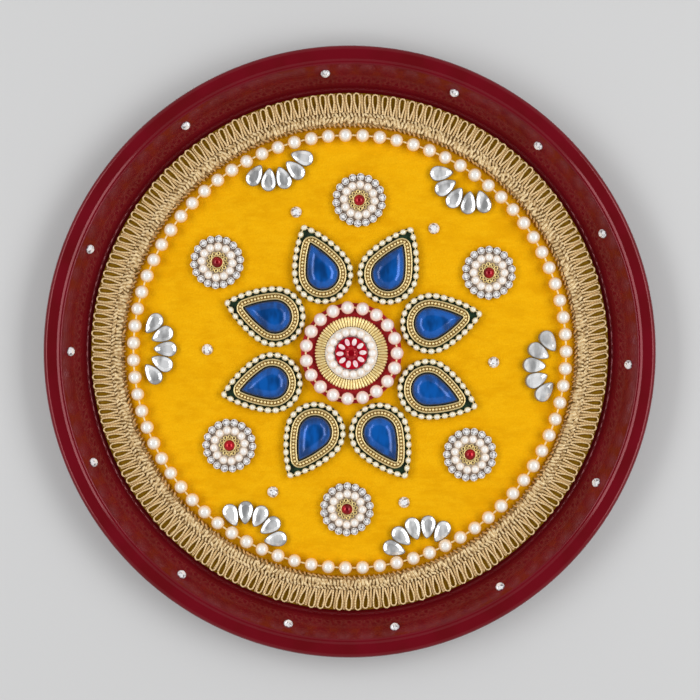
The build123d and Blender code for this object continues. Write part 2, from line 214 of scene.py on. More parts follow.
# Fans of clear drops and single crystals
FAN_ANGLES = (55.6, 111, 179.2, 241.3, 289.8, 355.7)
FAN_PLACE_SHARES = (1.011, 1.009, 1.001, 1.018, 1.019, 1.003)
FAN_CRYSTAL_SHARES = (0.691, 0.692, 0.660, 0.742, 0.743, 0.669)
FAN_TILTS = (2, 0, 0, 0, 2, 10)
FAN_R = 0.01315
FAN_DROPS = 5
DROP_L = 0.0101
DROP_W = 0.0064
DROP_TIP_R = 0.0009
DROP_SIDE_SHARE = 1.0
DROP_GIRDLE = 0.0019
DROP_H = 0.0026
DROP_TABLE_IN = 0.0015
DROP_CROWN_IN = 0.00032
DROP_CROWN_H = 0.0021
DROP_FACETS = 20
DROP_GAP = 0.00035
CRYSTAL_D = 0.0046
CRYSTAL_H = 0.0020
CRYSTAL_FACETS = 8
WALL_CRYSTAL_ANGLES = (
    25, 47.5, 68, 95, 126, 158.5, 180, 203.4, 233, 257.3, 279.3, 302.6, 332, 357.3,
)
WALL_CRYSTAL_D = 0.0038
WALL_CRYSTAL_H = 0.0016
WALL_PLACE_SHARE = 0.68
WALL_GLUE = 0.00005
GIRDLE_SHARE = 0.3
TABLE_SHARE = 0.52
STAR_SHARE = 0.78
STAR_RISE_SHARE = 0.72
# Painted reflections: how bright each crystal facet is painted, in turn
FACET_REFLECTIONS = (1.0, 0.25, 0.9, 1.0, 0.1, 0.95, 0.7)
FACET_STEPS = (1, 2, 3, 5)

# Counts and shares of the small shapes
MERGE_GAP = 0.0000005
HALF = 0.5
PLY_SHARE = 0.16
DENSE_STEPS = 160
PEARL_RINGS = 12
PEARL_SIDES = 18
BEAD_RINGS = 6
BEAD_SIDES = 8
BEAD_BLUNT = 0.24
SEED_RINGS = 10
SEED_SIDES = 14
BALL_RINGS = 5
BALL_SIDES = 8
RAIL_SIDES = 6
STITCH_SIDES = 7
RIB_SIDES = 8
CUP_SIDES = 14
CUP_PRONGS = 4
EYE_STEPS = 14
EYE_SIDES = 6
COLLAR_STEPS = 60
BASE_STEPS = 120
DOME_RINGS = 8
DOME_SIDES = 24
ENAMEL_RINGS = 8
ENAMEL_SIDES = 14
THREAD_SIDES = 8
THREAD_STEPS = 5
THREAD_POINTS = 260
STONE_POINTS = 120
DROP_POINTS = 60
ROD_END_SHARE = 0.72
FELT_SHOULDER_SHARE = 0.6
VELVET_RINGS = 60
VELVET_WAVE_SCALE = 90.0
WAIST_PLACE_SHARE = 0.27
WAIST_SHARE = 0.56
BELLY_PLACE_SHARE = 0.64
BELLY_SHARE = 0.98

# Hand-made unevenness, in radians or as a share of the size
LOOP_WANDER = radians(5)
LOOP_DRIFT = radians(50)
LOOP_DRIFT_SCALE = 14.0
LOOP_SIZE_WANDER = 0.04
STITCH_DRIFT = radians(110)
STITCH_DRIFT_SCALE = 60.0
STITCH_WANDER = radians(24)
STITCH_SIZE_WANDER = 0.24
SEAM_LEAN = radians(25)
PICOT_LEAN = radians(35)
PEARL_WANDER = 0.02
CHAIN_WANDER = 0.04
CRYSTAL_WANDER = radians(30)

# Camera and light
CAMERA_H = 0.90
CAMERA_X = 0.00012
CAMERA_Y = 0.00063
CAMERA_LENS = 109.95
SENSOR_W = 36.0
FLOOR_SIZE = 3.0
LEFT_BOX = (-0.82, 0.05, 0.84)
LEFT_SIZE = (0.42, 1.20)
LEFT_POWER = 6.2
RIGHT_BOX = (0.84, 0.04, 0.86)
RIGHT_SIZE = (0.54, 1.20)
RIGHT_POWER = 8.0
SKY = (0.55, 0.55, 0.55)
CEILING = (0.040, 0.040, 0.040)
CEILING_START = cos(radians(32))
CEILING_FULL = cos(radians(18))

# Colours
MAROON = (0.148, 0.004, 0.010)
MAROON_DEEP = (0.124, 0.004, 0.007)
# Painted shade: the maroon at the foot of the wall
MAROON_FOOT_SHADE = (0.090, 0.002, 0.003)
MAROON_SHEEN = (1.0, 0.45, 0.48)
YELLOW = (0.840, 0.420, 0.002)
YELLOW_MID = (0.760, 0.360, 0.001)
YELLOW_LIGHT = (0.920, 0.500, 0.006)
YELLOW_DEEP = (0.700, 0.310, 0.001)
VELVET_SHEEN = (1.0, 0.60, 0.0)
# Painted shade on the velvet: orange next to the lace and olive under it; the olive also darkens the lace
# band
ORANGE_SHADE = (0.480, 0.210, 0.003)
OLIVE_SHADE = (0.240, 0.125, 0.006)
LACE_GOLD = (0.860, 0.650, 0.360)
LACE_SHADE = (0.740, 0.520, 0.245)
LACE_DIM = (0.650, 0.440, 0.190)
STITCH_GOLD = (0.860, 0.680, 0.390)
STITCH_SHADE = (0.520, 0.340, 0.140)
PICOT_GOLD = (0.680, 0.360, 0.100)
CREAM = (0.860, 0.840, 0.800)
CREAM_WARM = (0.870, 0.820, 0.750)
# Painted reflected light: PEACH_BOUNCE, ROSE, WHITE_BOUNCE and IVORY_BOUNCE warm the sides of pearls and
# beads as if lit by the cloth under them
PEACH_BOUNCE = (0.960, 0.700, 0.430)
ROSE = (0.940, 0.620, 0.550)
WHITE = (0.900, 0.880, 0.850)
WHITE_BOUNCE = (0.920, 0.800, 0.680)
IVORY = (0.860, 0.840, 0.700)
IVORY_BOUNCE = (0.800, 0.700, 0.450)
THREAD_GOLD = (0.930, 0.680, 0.330)
THREAD_PALE = (0.960, 0.770, 0.440)
RED_FELT = (0.520, 0.006, 0.012)
RED_FELT_DEEP = (0.360, 0.003, 0.007)
GREEN_FELT = (0.004, 0.045, 0.014)
GREEN_FELT_DEEP = (0.001, 0.016, 0.005)
GILT = (0.930, 0.740, 0.380)
BRIGHT_GILT = (0.980, 0.830, 0.430)
BRIGHT_GILT_DEEP = (0.900, 0.700, 0.290)
# Painted shade: dark gilt for grooves and troughs
GROOVE_SHADE_GILT = (0.460, 0.310, 0.100)
BACKING = (0.940, 0.880, 0.800)
BACKING_MID = (0.900, 0.800, 0.690)
# Painted shade: the dark of the rosette backing and of the groove gilt
BACKING_SHADE = (0.200, 0.090, 0.045)
SILVER = (0.970, 0.940, 0.890)
SILVER_GREY = (0.860, 0.820, 0.770)
BLUE = (0.003, 0.110, 0.480)
BLUE_EDGE = (0.060, 0.065, 0.090)
RUBY = (0.480, 0.002, 0.012)
CRIMSON = (0.260, 0.001, 0.012)
PINK = (0.940, 0.520, 0.590)
CLEAR = (0.920, 0.930, 0.940)
CLEAR_EDGE = (0.300, 0.265, 0.215)
SPARK = (0.960, 0.960, 0.980)
SPARK_DARK = (0.200, 0.175, 0.180)
TABLE_GREY = (0.600, 0.602, 0.605)

# Grain of the finishes: clouds of noise to the metre, their levels and stretch, and depths of bumps
PAINT_GRAIN = 60.0
PAINT_BUMP = 0.00002
MOTTLE_LEVELS = (0.35, 0.68)
PATCH_GRAIN = 60.0
PATCH_STRETCH = (1, 1.7, 1)
PATCH_LEVELS = (0.40, 0.66)
BRUSH_GRAIN = 260.0
BRUSH_STRETCH = (0.6, 1.8, 1)
BRUSH_LEVELS = (0.38, 0.70)
NAP_GRAIN = 1500.0
NAP_LEVELS = (0.30, 0.75)
NAP_BUMP = 0.00015
CORD_BUMP = 0.00004
THREAD_GRAIN = 900.0
THREAD_BUMP = 0.0001
BAND_GRAIN = 600.0
FELT_GRAIN = 420.0
FELT_BUMP = 0.00025
PEARL_GRAIN = 160.0
PEARL_LEVELS = (0.02, 0.50)
STREAK_GRAIN = 260.0
STREAK_STRETCH = (1, 0.4, 1)
STREAK_LEVELS = (0.35, 0.70)
SPARK_GRAIN = 1500.0
GLINT_LEVELS = (0.60, 0.70)
METAL_GRAIN = 900.0
METAL_BUMP = 0.00002
ENAMEL_GRAIN = 600.0
FINE_SHARE = 3.0
FINE_DETAIL = 3.0
BRUSH_SHARE = 0.5
NAP_SHARE = 0.35
STREAK_SHARE = 0.4
CLEAR_STREAK_SHARE = 0.38
BACKING_SHARE = 0.12
RAIL_SHARE = 0.3

# Places that follow from the sizes above
lip_z = PLATE_H - SHEET
crest_z = lip_z + BEAD_RISE
crest_r = RIM_R - LIP_W - GROOVE_RUN - BEAD_RUN
corner_r = crest_r - crest_z / tan(WALL_SLOPE)
floor_r = corner_r - (CORNER_R + SHEET) * tan(WALL_SLOPE / 2)
velvet_r = floor_r - VELVET_GAP
field_z = SHEET + VELVET_T
loop_count = floor(2 * pi * (velvet_r - LOOP_EDGE_GAP) / LOOP_PITCH)
header_out_r = velvet_r - LOOP_L
header_in_r = header_out_r - HEADER_W
border_r = header_in_r - STRING_GAP - PEARL_D / 2
bezel_out = STONE_GAP + BEZEL_W
chain_out = bezel_out + CHAIN_GAP + BEAD_D / 2
petal_half_w = STONE_W / 2 + chain_out + BEAD_D / 2
petal_r = (petal_half_w + PETAL_GAP / 2) / sin(pi / len(PETAL_TILTS))
pivot_x = PIVOT_SHARE * (STONE_L - STONE_W)
medallion_pearl_r = petal_r - petal_half_w - MEDALLION_GAP - PEARL_D / 2
flute_out_r = medallion_pearl_r - PEARL_D / 2 - FLUTE_GAP
flute_in_r = flute_out_r - FLUTE_W
mould_r = flute_in_r - MOULD_GAP - MOULD_PEARL_D / 2
enamel_r = mould_r - MOULD_PEARL_D / 2 - MOULD_GAP
felt_z = field_z + FELT_T
rosette_seed_r = (SEED_D + ROSETTE_SEED_GAP) / (2 * sin(pi / ROSETTE_SEEDS))
cup_ring_r = rosette_seed_r + SEED_D / 2 + CUP_SEED_GAP + CUP_D / 2
cap_r = rosette_seed_r - SEED_D / 2 - CAP_GAP
rosette_z = field_z + ROSETTE_BASE_T


# Shapes: those that pieces are made from stay in a workshop, which is cleared at the end

WORKSHOP = bpy.data.collections.new("workshop")
bpy.context.scene.collection.children.link(WORKSHOP)


def in_workshop(name, data):
    shape = bpy.data.objects.new(name, data)
    WORKSHOP.objects.link(shape)
    return shape


def in_scene(thing):
    bpy.context.scene.collection.objects.link(thing)
    return thing


def taken_out(piece):
    WORKSHOP.objects.unlink(piece)
    return in_scene(piece)


def make_object(name, points, faces, smooth=True):
    mesh = bpy.data.meshes.new(name)
    mesh.from_pydata([tuple(p) for p in points], [], faces)
    mesh.polygons.foreach_set("use_smooth", [smooth] * len(mesh.polygons))
    return in_workshop(name, mesh)


def solid(name, points, faces, smooth=True):
    """A closed shape with doubled points merged and every face pointing outward."""
    shape = make_object(name, points, faces, smooth)
    grid = bmesh.new()
    grid.from_mesh(shape.data)
    bmesh.ops.remove_doubles(grid, verts=grid.verts, dist=MERGE_GAP)
    bmesh.ops.recalc_face_normals(grid, faces=grid.faces)
    grid.to_mesh(shape.data)
    grid.free()
    return shape


def lathe(name, section, sides, smooth=True):
    """A closed section of radius and height pairs turned round the Z axis."""
    points = []
    rings = []
    for radius, height in section:
        count = 1 if radius == 0 else sides
        rings.append(range(len(points), len(points) + count))
        for i in range(count):
            turn = 2 * pi * i / sides
            points.append((radius * cos(turn), radius * sin(turn), height))
    faces = []
    for lower, upper in zip(rings, rings[1:] + rings[:1]):
        for i in range(sides):
            corners = [lower[i % len(lower)], lower[(i + 1) % len(lower)]]
            corners += [upper[(i + 1) % len(upper)], upper[i % len(upper)]]
            corners = list(dict.fromkeys(corners))
            if len(corners) > 2:
                faces.append(corners)
    return solid(name, points, faces, smooth)


def flat_ring(name, inner_r, outer_r, height, sides):
    return lathe(name, [(inner_r, 0), (outer_r, 0), (outer_r, height), (inner_r, height)], sides)


def round_edge(radius, height, bend):
    """A quarter bend from the side of a disc onto its top, as radius and height pairs."""
    turns = [pi / 2 * i / BEND_STEPS for i in range(BEND_STEPS + 1)]
    return [(radius - bend * (1 - cos(turn)), height - bend * (1 - sin(turn))) for turn in turns]


def faces_between(rows, count, closed):
    """Faces between rows of points that are closed rings; closed joins the last row to the first."""
    faces = []
    for row in range(rows if closed else rows - 1):
        low = row * count
        high = (row + 1) % rows * count
        for i in range(count):
            j = (i + 1) % count
            faces.append([low + i, low + j, high + j, high + i])
    return faces


def stack(name, outlines, smooth=True, closed=False):
    """Outlines of equal counts joined in order; the ends are filled, or closed joins them to each other."""
    count = len(outlines[0])
    points = [p for outline in outlines for p in outline]
    faces = faces_between(len(outlines), count, closed)
    if not closed:
        faces.append(list(range(count))[::-1])
        faces.append(list(range(len(points) - count, len(points))))
    return solid(name, points, faces, smooth)


def flat_tube(name, path, height, radius, sides, twist=0):
    """A round cord along a closed flat path; with a twist it is two plies."""
    after = np.roll(path, -1, axis=0)
    way = after - np.roll(path, 1, axis=0)
    way /= np.linalg.norm(way, axis=1)[:, None]
    side = np.stack([way[:, 1], -way[:, 0]], axis=1)
    steps = np.linalg.norm(after - path, axis=1)
    run = np.concatenate([[0], np.cumsum(steps)[:-1]])
    turns = round(steps.sum() / twist) if twist else 0
    phase = 2 * pi * turns * run / steps.sum()
    points = []
    for i, place in enumerate(path):
        for k in range(sides):
            angle = 2 * pi * k / sides
            reach = radius * (1 + PLY_SHARE * cos(2 * (angle - phase[i]))) if twist else radius
            flat = place + side[i] * reach * cos(angle)
            points.append((flat[0], flat[1], height + reach * sin(angle)))
    return solid(name, points, faces_between(len(path), sides, True))


def circle_path(radius, count, start=0):
    turns = (np.arange(count) + start) * 2 * pi / count
    return np.stack([radius * np.cos(turns), radius * np.sin(turns)], axis=1)


def pear_path(length, width, tip_r, grow, count, side_share=SIDE_SHARE):
    """Points spaced evenly on a pear outline about its round end's centre, from the tip along +X."""
    end_r = width / 2
    reach = length - end_r
    side_r = side_share * length
    lean = asin((2 * side_r * end_r - end_r**2 - reach**2) / (2 * reach * (side_r - end_r)))
    heart = np.array([-sin(lean), -cos(lean)]) * (side_r - end_r)
    bow_r = side_r + grow
    tip_x = heart[0] + sqrt((bow_r - tip_r) ** 2 - heart[1] ** 2)
    meet = atan2(-heart[1], tip_x - heart[0])
    tip = np.linspace(0, meet, DENSE_STEPS)
    bow = np.linspace(meet, pi / 2 - lean, DENSE_STEPS)
    back = np.linspace(pi / 2 - lean, pi, DENSE_STEPS)
    upper = np.concatenate([
        np.stack([tip_x + tip_r * np.cos(tip), tip_r * np.sin(tip)], axis=1),
        heart + bow_r * np.stack([np.cos(bow), np.sin(bow)], axis=1)[1:],
        (end_r + grow) * np.stack([np.cos(back), np.sin(back)], axis=1)[1:],
    ])
    whole = np.concatenate([upper, upper[-2::-1] * (1, -1)])
    run = np.concatenate([[0], np.cumsum(np.linalg.norm(np.diff(whole, axis=0), axis=1))])
    stops = np.arange(count) * run[-1] / count
    return np.stack([np.interp(stops, run, whole[:, 0]), np.interp(stops, run, whole[:, 1])], axis=1)


def stone_path(tip_r, grow, count=PATH_STEPS):
    """The outline of a blue stone, grown by a distance."""
    return pear_path(STONE_L, STONE_W, tip_r, grow, count)


def cut_flat(path, facets):
    """The same number of points moved onto straight chords between evenly spaced corners."""
    step = len(path) // facets
    cut = path.copy()
    for first in range(0, len(path), step):
        start, end = path[first], path[(first + step) % len(path)]
        for k in range(step):
            cut[first + k] = start + (end - start) * k / step
    return cut


def count_along(path, pitch):
    """How many pieces fit along a closed path."""
    return floor(float(np.linalg.norm(np.roll(path, -1, axis=0) - path, axis=1).sum()) / pitch)


def count_on(radius, pitch):
    return floor(2 * pi * radius / pitch)


def at_height(path, height):
    return [(x, y, height) for x, y in path]


def moved(shape, name, place):
    """A copy of a shape with a place put into its mesh."""
    piece = in_workshop(name, shape.data.copy())
    piece.data.name = name
    piece.data.transform(place)
    return piece


def joined(name, shapes):
    """One shape made of several, which it uses up."""
    whole = bmesh.new()
    for shape in shapes:
        whole.from_mesh(shape.data)
        bpy.data.objects.remove(shape)
    mesh = bpy.data.meshes.new(name)
    whole.to_mesh(mesh)
    whole.free()
    return in_workshop(name, mesh)


def spot(x, y, z, turn=0):
    return Matrix.Translation((x, y, z)) @ Matrix.Rotation(radians(turn), 4, "Z")


def up(height):
    return spot(0, 0, height)


def on_flower(height):
    return spot(FLOWER_X, FLOWER_Y, height)


def polar(radius, angle, z=0):
    turn = radians(angle)
    return spot(radius * cos(turn), radius * sin(turn), z, angle)


# Node trees for the rows of like pieces

def add(tree, kind, values=(), **settings):
    """A node with its settings, and with its inputs set or linked."""
    node = tree.nodes.new(kind)
    for name, value in settings.items():
        setattr(node, name, value)
    for label, value in dict(values).items():
        socket = node.inputs[label]
        if isinstance(value, bpy.types.NodeSocket):
            tree.links.new(value, socket)
        else:
            socket.default_value = value
    return node


def reckon(tree, operation, *parts):
    return add(tree, "ShaderNodeMath", enumerate(parts), operation=operation).outputs[0]


def open_tree(name, inputs):
    tree = bpy.data.node_groups.new(name, "GeometryNodeTree")
    tree.interface.new_socket("Geometry", in_out="INPUT", socket_type="NodeSocketGeometry")
    for label, kind in inputs.items():
        tree.interface.new_socket(label, in_out="INPUT", socket_type="NodeSocket" + kind)
    tree.interface.new_socket("Geometry", in_out="OUTPUT", socket_type="NodeSocketGeometry")
    return tree, tree.nodes.new("NodeGroupInput").outputs


def close_tree(tree, geometry, finish):
    whole = add(tree, "GeometryNodeRealizeInstances", {"Geometry": geometry})
    dressed = add(tree, "GeometryNodeSetMaterial", {"Geometry": whole.outputs[0], "Material": finish})
    result = tree.nodes.new("NodeGroupOutput")
    tree.links.new(dressed.outputs[0], result.inputs[0])
    return tree


def shape_of(tree, given):
    return add(tree, "GeometryNodeObjectInfo", {"Object": given["Shape"]}).outputs["Geometry"]


def wander(tree, amount, seed):
    """A random number for each piece, between minus and plus an amount."""
    values = {2: reckon(tree, "MULTIPLY", amount, -1), 3: amount, "Seed": seed}
    return add(tree, "FunctionNodeRandomValue", values, data_type="FLOAT").outputs[1]


def turned_outward(tree, vector, lean):
    """A turn whose X axis follows a vector, then leans about its own Z axis."""
    outward = add(tree, "FunctionNodeAlignRotationToVector", {"Vector": vector}, axis="X", pivot_axis="Z")
    about = add(tree, "ShaderNodeCombineXYZ", {"Z": lean})
    by = add(tree, "FunctionNodeEulerToRotation", {0: about.outputs[0]})
    values = {"Rotation": outward.outputs[0], "Rotate By": by.outputs[0]}
    return add(tree, "FunctionNodeRotateRotation", values, rotation_space="LOCAL").outputs[0]


def sized(tree, given):
    """A scale near one for each piece."""
    return reckon(tree, "ADD", wander(tree, given["Size wander"], given["Seed"]), 1.0)


def drift(tree, given):
    """A slow lean that changes round the thali, with a quick one for each piece on top."""
    place = add(tree, "GeometryNodeInputPosition").outputs[0]
    cloud = add(tree, "ShaderNodeTexNoise", {"Vector": place, "Scale": given["Drift scale"], "Detail": 0})
    slow = reckon(tree, "MULTIPLY", reckon(tree, "SUBTRACT", cloud.outputs[0], HALF), given["Drift"])
    quick = wander(tree, given["Lean wander"], given["Seed"])
    return reckon(tree, "ADD", reckon(tree, "ADD", slow, quick), given["Lean"])


ROW_INPUTS = {
    "Shape": "Object", "Finish": "Material", "Count": "Int", "Radius": "Float", "Lean": "Float",
    "Lean wander": "Float", "Drift": "Float", "Drift scale": "Float", "Size wander": "Float",
    "Start": "Float", "Place": "Vector", "Seed": "Int",
}
ROW_DEFAULTS = {
    "Lean": 0.0, "Lean wander": 0.0, "Drift": 0.0, "Drift scale": 0.0, "Size wander": 0.0,
    "Start": 0.0, "Place": (0.0, 0.0, 0.0), "Seed": 1,
}
CORD_INPUTS = {"Cord width": "Float", "Cord sides": "Int", "Root swell": "Float"}
PATH_INPUTS = {"Shape": "Object", "Finish": "Material", "Count": "Int", "Size wander": "Float", "Seed": "Int"}
PLACE_INPUTS = {"Shape": "Object", "Finish": "Material"}


def round_row(tree, given, shape):
    """Copies of a shape spaced evenly on a circle, each facing outward."""
    circle = add(tree, "GeometryNodeMeshCircle", {"Vertices": given["Count"], "Radius": given["Radius"]})
    place = add(tree, "GeometryNodeInputPosition").outputs[0]
    return add(tree, "GeometryNodeInstanceOnPoints", {
        "Points": circle.outputs[0], "Instance": shape,
        "Rotation": turned_outward(tree, place, drift(tree, given)), "Scale": sized(tree, given),
    }).outputs[0]


def put_down(tree, given, geometry):
    """Turns a row to its start, lays it at its place and closes the tree."""
    start = add(tree, "ShaderNodeCombineXYZ", {"Z": given["Start"]})
    values = {"Geometry": geometry, "Translation": given["Place"], "Rotation": start.outputs[0]}
    return close_tree(tree, add(tree, "GeometryNodeTransform", values).outputs[0], given["Finish"])


def ring_tree():
    tree, given = open_tree("row_round_a_circle", ROW_INPUTS)
    return put_down(tree, given, round_row(tree, given, shape_of(tree, given)))


def path_tree():
    """Copies of a shape spaced evenly along a closed path, each along the path."""
    tree, given = open_tree("row_along_a_path", PATH_INPUTS)
    line = add(tree, "GeometryNodeMeshToCurve", {"Mesh": given["Geometry"]})
    values = {"Curve": line.outputs[0], "Count": given["Count"]}
    spots = add(tree, "GeometryNodeCurveToPoints", values, mode="COUNT")
    row = add(tree, "GeometryNodeInstanceOnPoints", {
        "Points": spots.outputs["Points"], "Instance": shape_of(tree, given),
        "Rotation": turned_outward(tree, spots.outputs["Tangent"], 0.0), "Scale": sized(tree, given),
    })
    return close_tree(tree, row.outputs[0], given["Finish"])


def place_tree():
    """Copies of a shape at given places, each with the turn stored there."""
    tree, given = open_tree("shapes_at_places", PLACE_INPUTS)
    turn = add(tree, "GeometryNodeInputNamedAttribute", {"Name": "turn"}, data_type="QUATERNION")
    row = add(tree, "GeometryNodeInstanceOnPoints", {
        "Points": given["Geometry"], "Instance": shape_of(tree, given), "Rotation": turn.outputs[0],
    })
    return close_tree(tree, row.outputs[0], given["Finish"])


def corded(tree, given, lines):
    """Open lines given a cord's thickness, swollen toward their ends, with the way along them stored."""
    run = add(tree, "GeometryNodeSplineParameter")
    marked = add(tree, "GeometryNodeStoreNamedAttribute", {
        "Geometry": lines, "Name": "along", "Value": run.outputs["Length"],
    }, data_type="FLOAT", domain="POINT")
    half = reckon(tree, "MULTIPLY", given["Cord width"], HALF)
    ring = add(tree, "GeometryNodeCurvePrimitiveCircle", {"Resolution": given["Cord sides"], "Radius": half})
    side = reckon(tree, "MULTIPLY_ADD", run.outputs["Factor"], 2.0, -1.0)
    root = reckon(tree, "POWER", side, 2.0)
    body = add(tree, "GeometryNodeCurveToMesh", {
        "Curve": marked.outputs[0], "Profile Curve": ring.outputs[0], "Fill Caps": True,
        "Scale": reckon(tree, "MULTIPLY_ADD", root, given["Root swell"], 1.0),
    })
    return add(tree, "GeometryNodeSetShadeSmooth", {"Geometry": body.outputs[0]}).outputs[0]


def fringe_tree():
    """A fringe of cord loops: an open line repeated round a circle and made a cord."""
    tree, given = open_tree("fringe_of_loops", ROW_INPUTS | CORD_INPUTS)
    line = add(tree, "GeometryNodeMeshToCurve", {"Mesh": shape_of(tree, given)})
    row = round_row(tree, given, line.outputs[0])
    lines = add(tree, "GeometryNodeRealizeInstances", {"Geometry": row})
    return put_down(tree, given, corded(tree, given, lines.outputs[0]))


def grow(name, tree, values, points=(), edges=(), turns=()):
    """Runs a tree over a start mesh and keeps the result as a plain mesh."""
    mesh = bpy.data.meshes.new(name)
    mesh.from_pydata([tuple(p) for p in points], edges, [])
    if turns:
        store = mesh.attributes.new("turn", "QUATERNION", "POINT")
        store.data.foreach_set("value", [part for turn in turns for part in turn])
    seedling = in_workshop(name, mesh)
    modifier = seedling.modifiers.new("row", "NODES")
    modifier.node_group = tree
    for socket in tree.interface.items_tree:
        if socket.in_out == "INPUT" and socket.name in values:
            modifier[socket.identifier] = values[socket.name]
    graph = bpy.context.evaluated_depsgraph_get()
    grown = bpy.data.meshes.new_from_object(seedling.evaluated_get(graph))
    seedling.modifiers.clear()
    seedling.data = grown
    bpy.data.meshes.remove(mesh)
    grown.name = name
    return seedling


def ring_row(name, shape, finish, count, radius, **more):
    given = {"Shape": shape, "Finish": FINISHES[finish], "Count": count, "Radius": radius}
    extra = {label.replace("_", " ").capitalize(): value for label, value in more.items()}
    return grow(name, RING, ROW_DEFAULTS | given | extra)


def path_row(name, shape, finish, path, height, count, size_wander=0.0):
    edges = [(i, (i + 1) % len(path)) for i in range(len(path))]
    values = {
        "Shape": shape, "Finish": FINISHES[finish], "Count": count, "Size wander": size_wander, "Seed": 1,
    }
    return grow(name, PATH, values, at_height(path, height), edges)


def place_row(name, shape, finish, places):
    turns = [tuple(place.to_quaternion()) for place in places]
    values = {"Shape": shape, "Finish": FINISHES[finish]}
    return grow(name, PLACES, values, [place.translation for place in places], (), turns)


# Finishes

def new_finish(name, colour, roughness, metallic=0.0, **more):
    """A finish with its even values set on the shader's own sockets."""
    finish = bpy.data.materials.new(name)
    finish.use_nodes = True
    shader = finish.node_tree.nodes["Principled BSDF"]
    shader.inputs["Base Color"].default_value = (*colour, 1)
    shader.inputs["Roughness"].default_value = roughness
    shader.inputs["Metallic"].default_value = metallic
    for label, value in more.items():
        shader.inputs[label.replace("_", " ")].default_value = value
    return finish


def object_place(tree, stretch=(1, 1, 1)):
    place = add(tree, "ShaderNodeTexCoord").outputs["Object"]
    return add(tree, "ShaderNodeMapping", {"Vector": place, "Scale": stretch}).outputs[0]


def from_axis(tree):
    """The distance from the middle of the thali."""
    flat = add(tree, "ShaderNodeVectorMath", {0: object_place(tree, (1, 1, 0))}, operation="LENGTH")
    return flat.outputs["Value"]


def noise(tree, scale, detail=2.0, stretch=(1, 1, 1), roughness=0.5):
    values = {"Vector": object_place(tree, stretch), "Scale": scale, "Detail": detail, "Roughness": roughness}
    return add(tree, "ShaderNodeTexNoise", values).outputs["Fac"]


def ramp(tree, value, low, high):
    """A value stretched so that low becomes 0 and high becomes 1."""
    values = {0: value, 1: low, 2: high}
    return add(tree, "ShaderNodeMapRange", values, interpolation_type="SMOOTHSTEP").outputs[0]


def mark(tree, name):
    return add(tree, "ShaderNodeAttribute", attribute_name=name).outputs["Fac"]


def blend(tree, share, first, second):
    node = add(tree, "ShaderNodeMix", {0: share}, data_type="RGBA")
    for index, value in ((6, first), (7, second)):
        if isinstance(value, bpy.types.NodeSocket):
            tree.links.new(value, node.inputs[index])
        else:
            node.inputs[index].default_value = (*value, 1)
    return node.outputs[2]


def set_colour(finish, colour):
    tree = finish.node_tree
    tree.links.new(colour, tree.nodes["Principled BSDF"].inputs["Base Color"])
    return finish


def set_bump(finish, height, depth):
    tree = finish.node_tree
    bump = add(tree, "ShaderNodeBump", {"Height": height, "Distance": depth})
    tree.links.new(bump.outputs[0], tree.nodes["Principled BSDF"].inputs["Normal"])
    return finish


def painted_over(finish, share, colour):
    """Blends another colour over the one that a finish has so far."""
    tree = finish.node_tree
    so_far = tree.nodes["Principled BSDF"].inputs["Base Color"].links[0].from_socket
    return set_colour(finish, blend(tree, share, so_far, colour))


def mottled(name, first, second, grain, roughness, metallic=0.0, bump=0.0, **more):
    """A finish that drifts between two colours, with a fine grain in its surface."""
    finish = new_finish(name, first, roughness, metallic, **more)
    tree = finish.node_tree
    set_colour(finish, blend(tree, ramp(tree, noise(tree, grain), *MOTTLE_LEVELS), first, second))
    if bump:
        set_bump(finish, noise(tree, grain * FINE_SHARE, FINE_DETAIL), bump)
    return finish


def maroon_enamel(name):
    """Glossy paint, with painted shade making it darker at the foot of the wall."""
    finish = mottled(name, MAROON, MAROON_DEEP, PAINT_GRAIN, 0.11, 0.0, PAINT_BUMP,
                     Specular_Tint=(*MAROON_SHEEN, 1))
    tree = finish.node_tree
    return painted_over(finish, ramp(tree, from_axis(tree), corner_r + FOOT_SHADE_W, floor_r), MAROON_FOOT_SHADE)


def yellow_velvet(name):
    """Velvet with brushed patches and a fine nap, and painted shade: orange next to the lace and olive under
    it.
    """
    finish = new_finish(name, YELLOW, 0.95, Specular_IOR_Level=0.05, Sheen_Weight=0.10,
                        Sheen_Roughness=0.45, Sheen_Tint=(*VELVET_SHEEN, 1))
    tree = finish.node_tree
    patches = ramp(tree, noise(tree, PATCH_GRAIN, FINE_DETAIL, PATCH_STRETCH, 0.6), *PATCH_LEVELS)
    brushed = ramp(tree, noise(tree, BRUSH_GRAIN, FINE_DETAIL, BRUSH_STRETCH, 0.65), *BRUSH_LEVELS)
    nap = ramp(tree, noise(tree, NAP_GRAIN), *NAP_LEVELS)
    away = from_axis(tree)
    set_colour(finish, blend(tree, patches, YELLOW, YELLOW_MID))
    painted_over(finish, reckon(tree, "MULTIPLY", brushed, BRUSH_SHARE), YELLOW_LIGHT)
    painted_over(finish, reckon(tree, "MULTIPLY", nap, NAP_SHARE), YELLOW_DEEP)
    # Painted shade: orange from the pearl string toward the lace, olive under the lace
    painted_over(finish, ramp(tree, away, border_r, header_in_r), ORANGE_SHADE)
    painted_over(finish, ramp(tree, away, header_in_r, header_out_r), OLIVE_SHADE)
    return set_bump(finish, noise(tree, NAP_GRAIN), NAP_BUMP)


def gold_cord(name, light, dark):
    """Metal thread wound round a cord, with painted shade between the turns and each turn's crown painted
    lighter.
    """
    finish = new_finish(name, light, 0.42, 0.25)
    tree = finish.node_tree
    run = reckon(tree, "MULTIPLY", mark(tree, "along"), 2 * pi / LACE_TURN)
    crown = ramp(tree, reckon(tree, "SINE", run), -1.0, 1.0)
    set_colour(finish, blend(tree, crown, dark, light))
    return set_bump(finish, crown, CORD_BUMP)


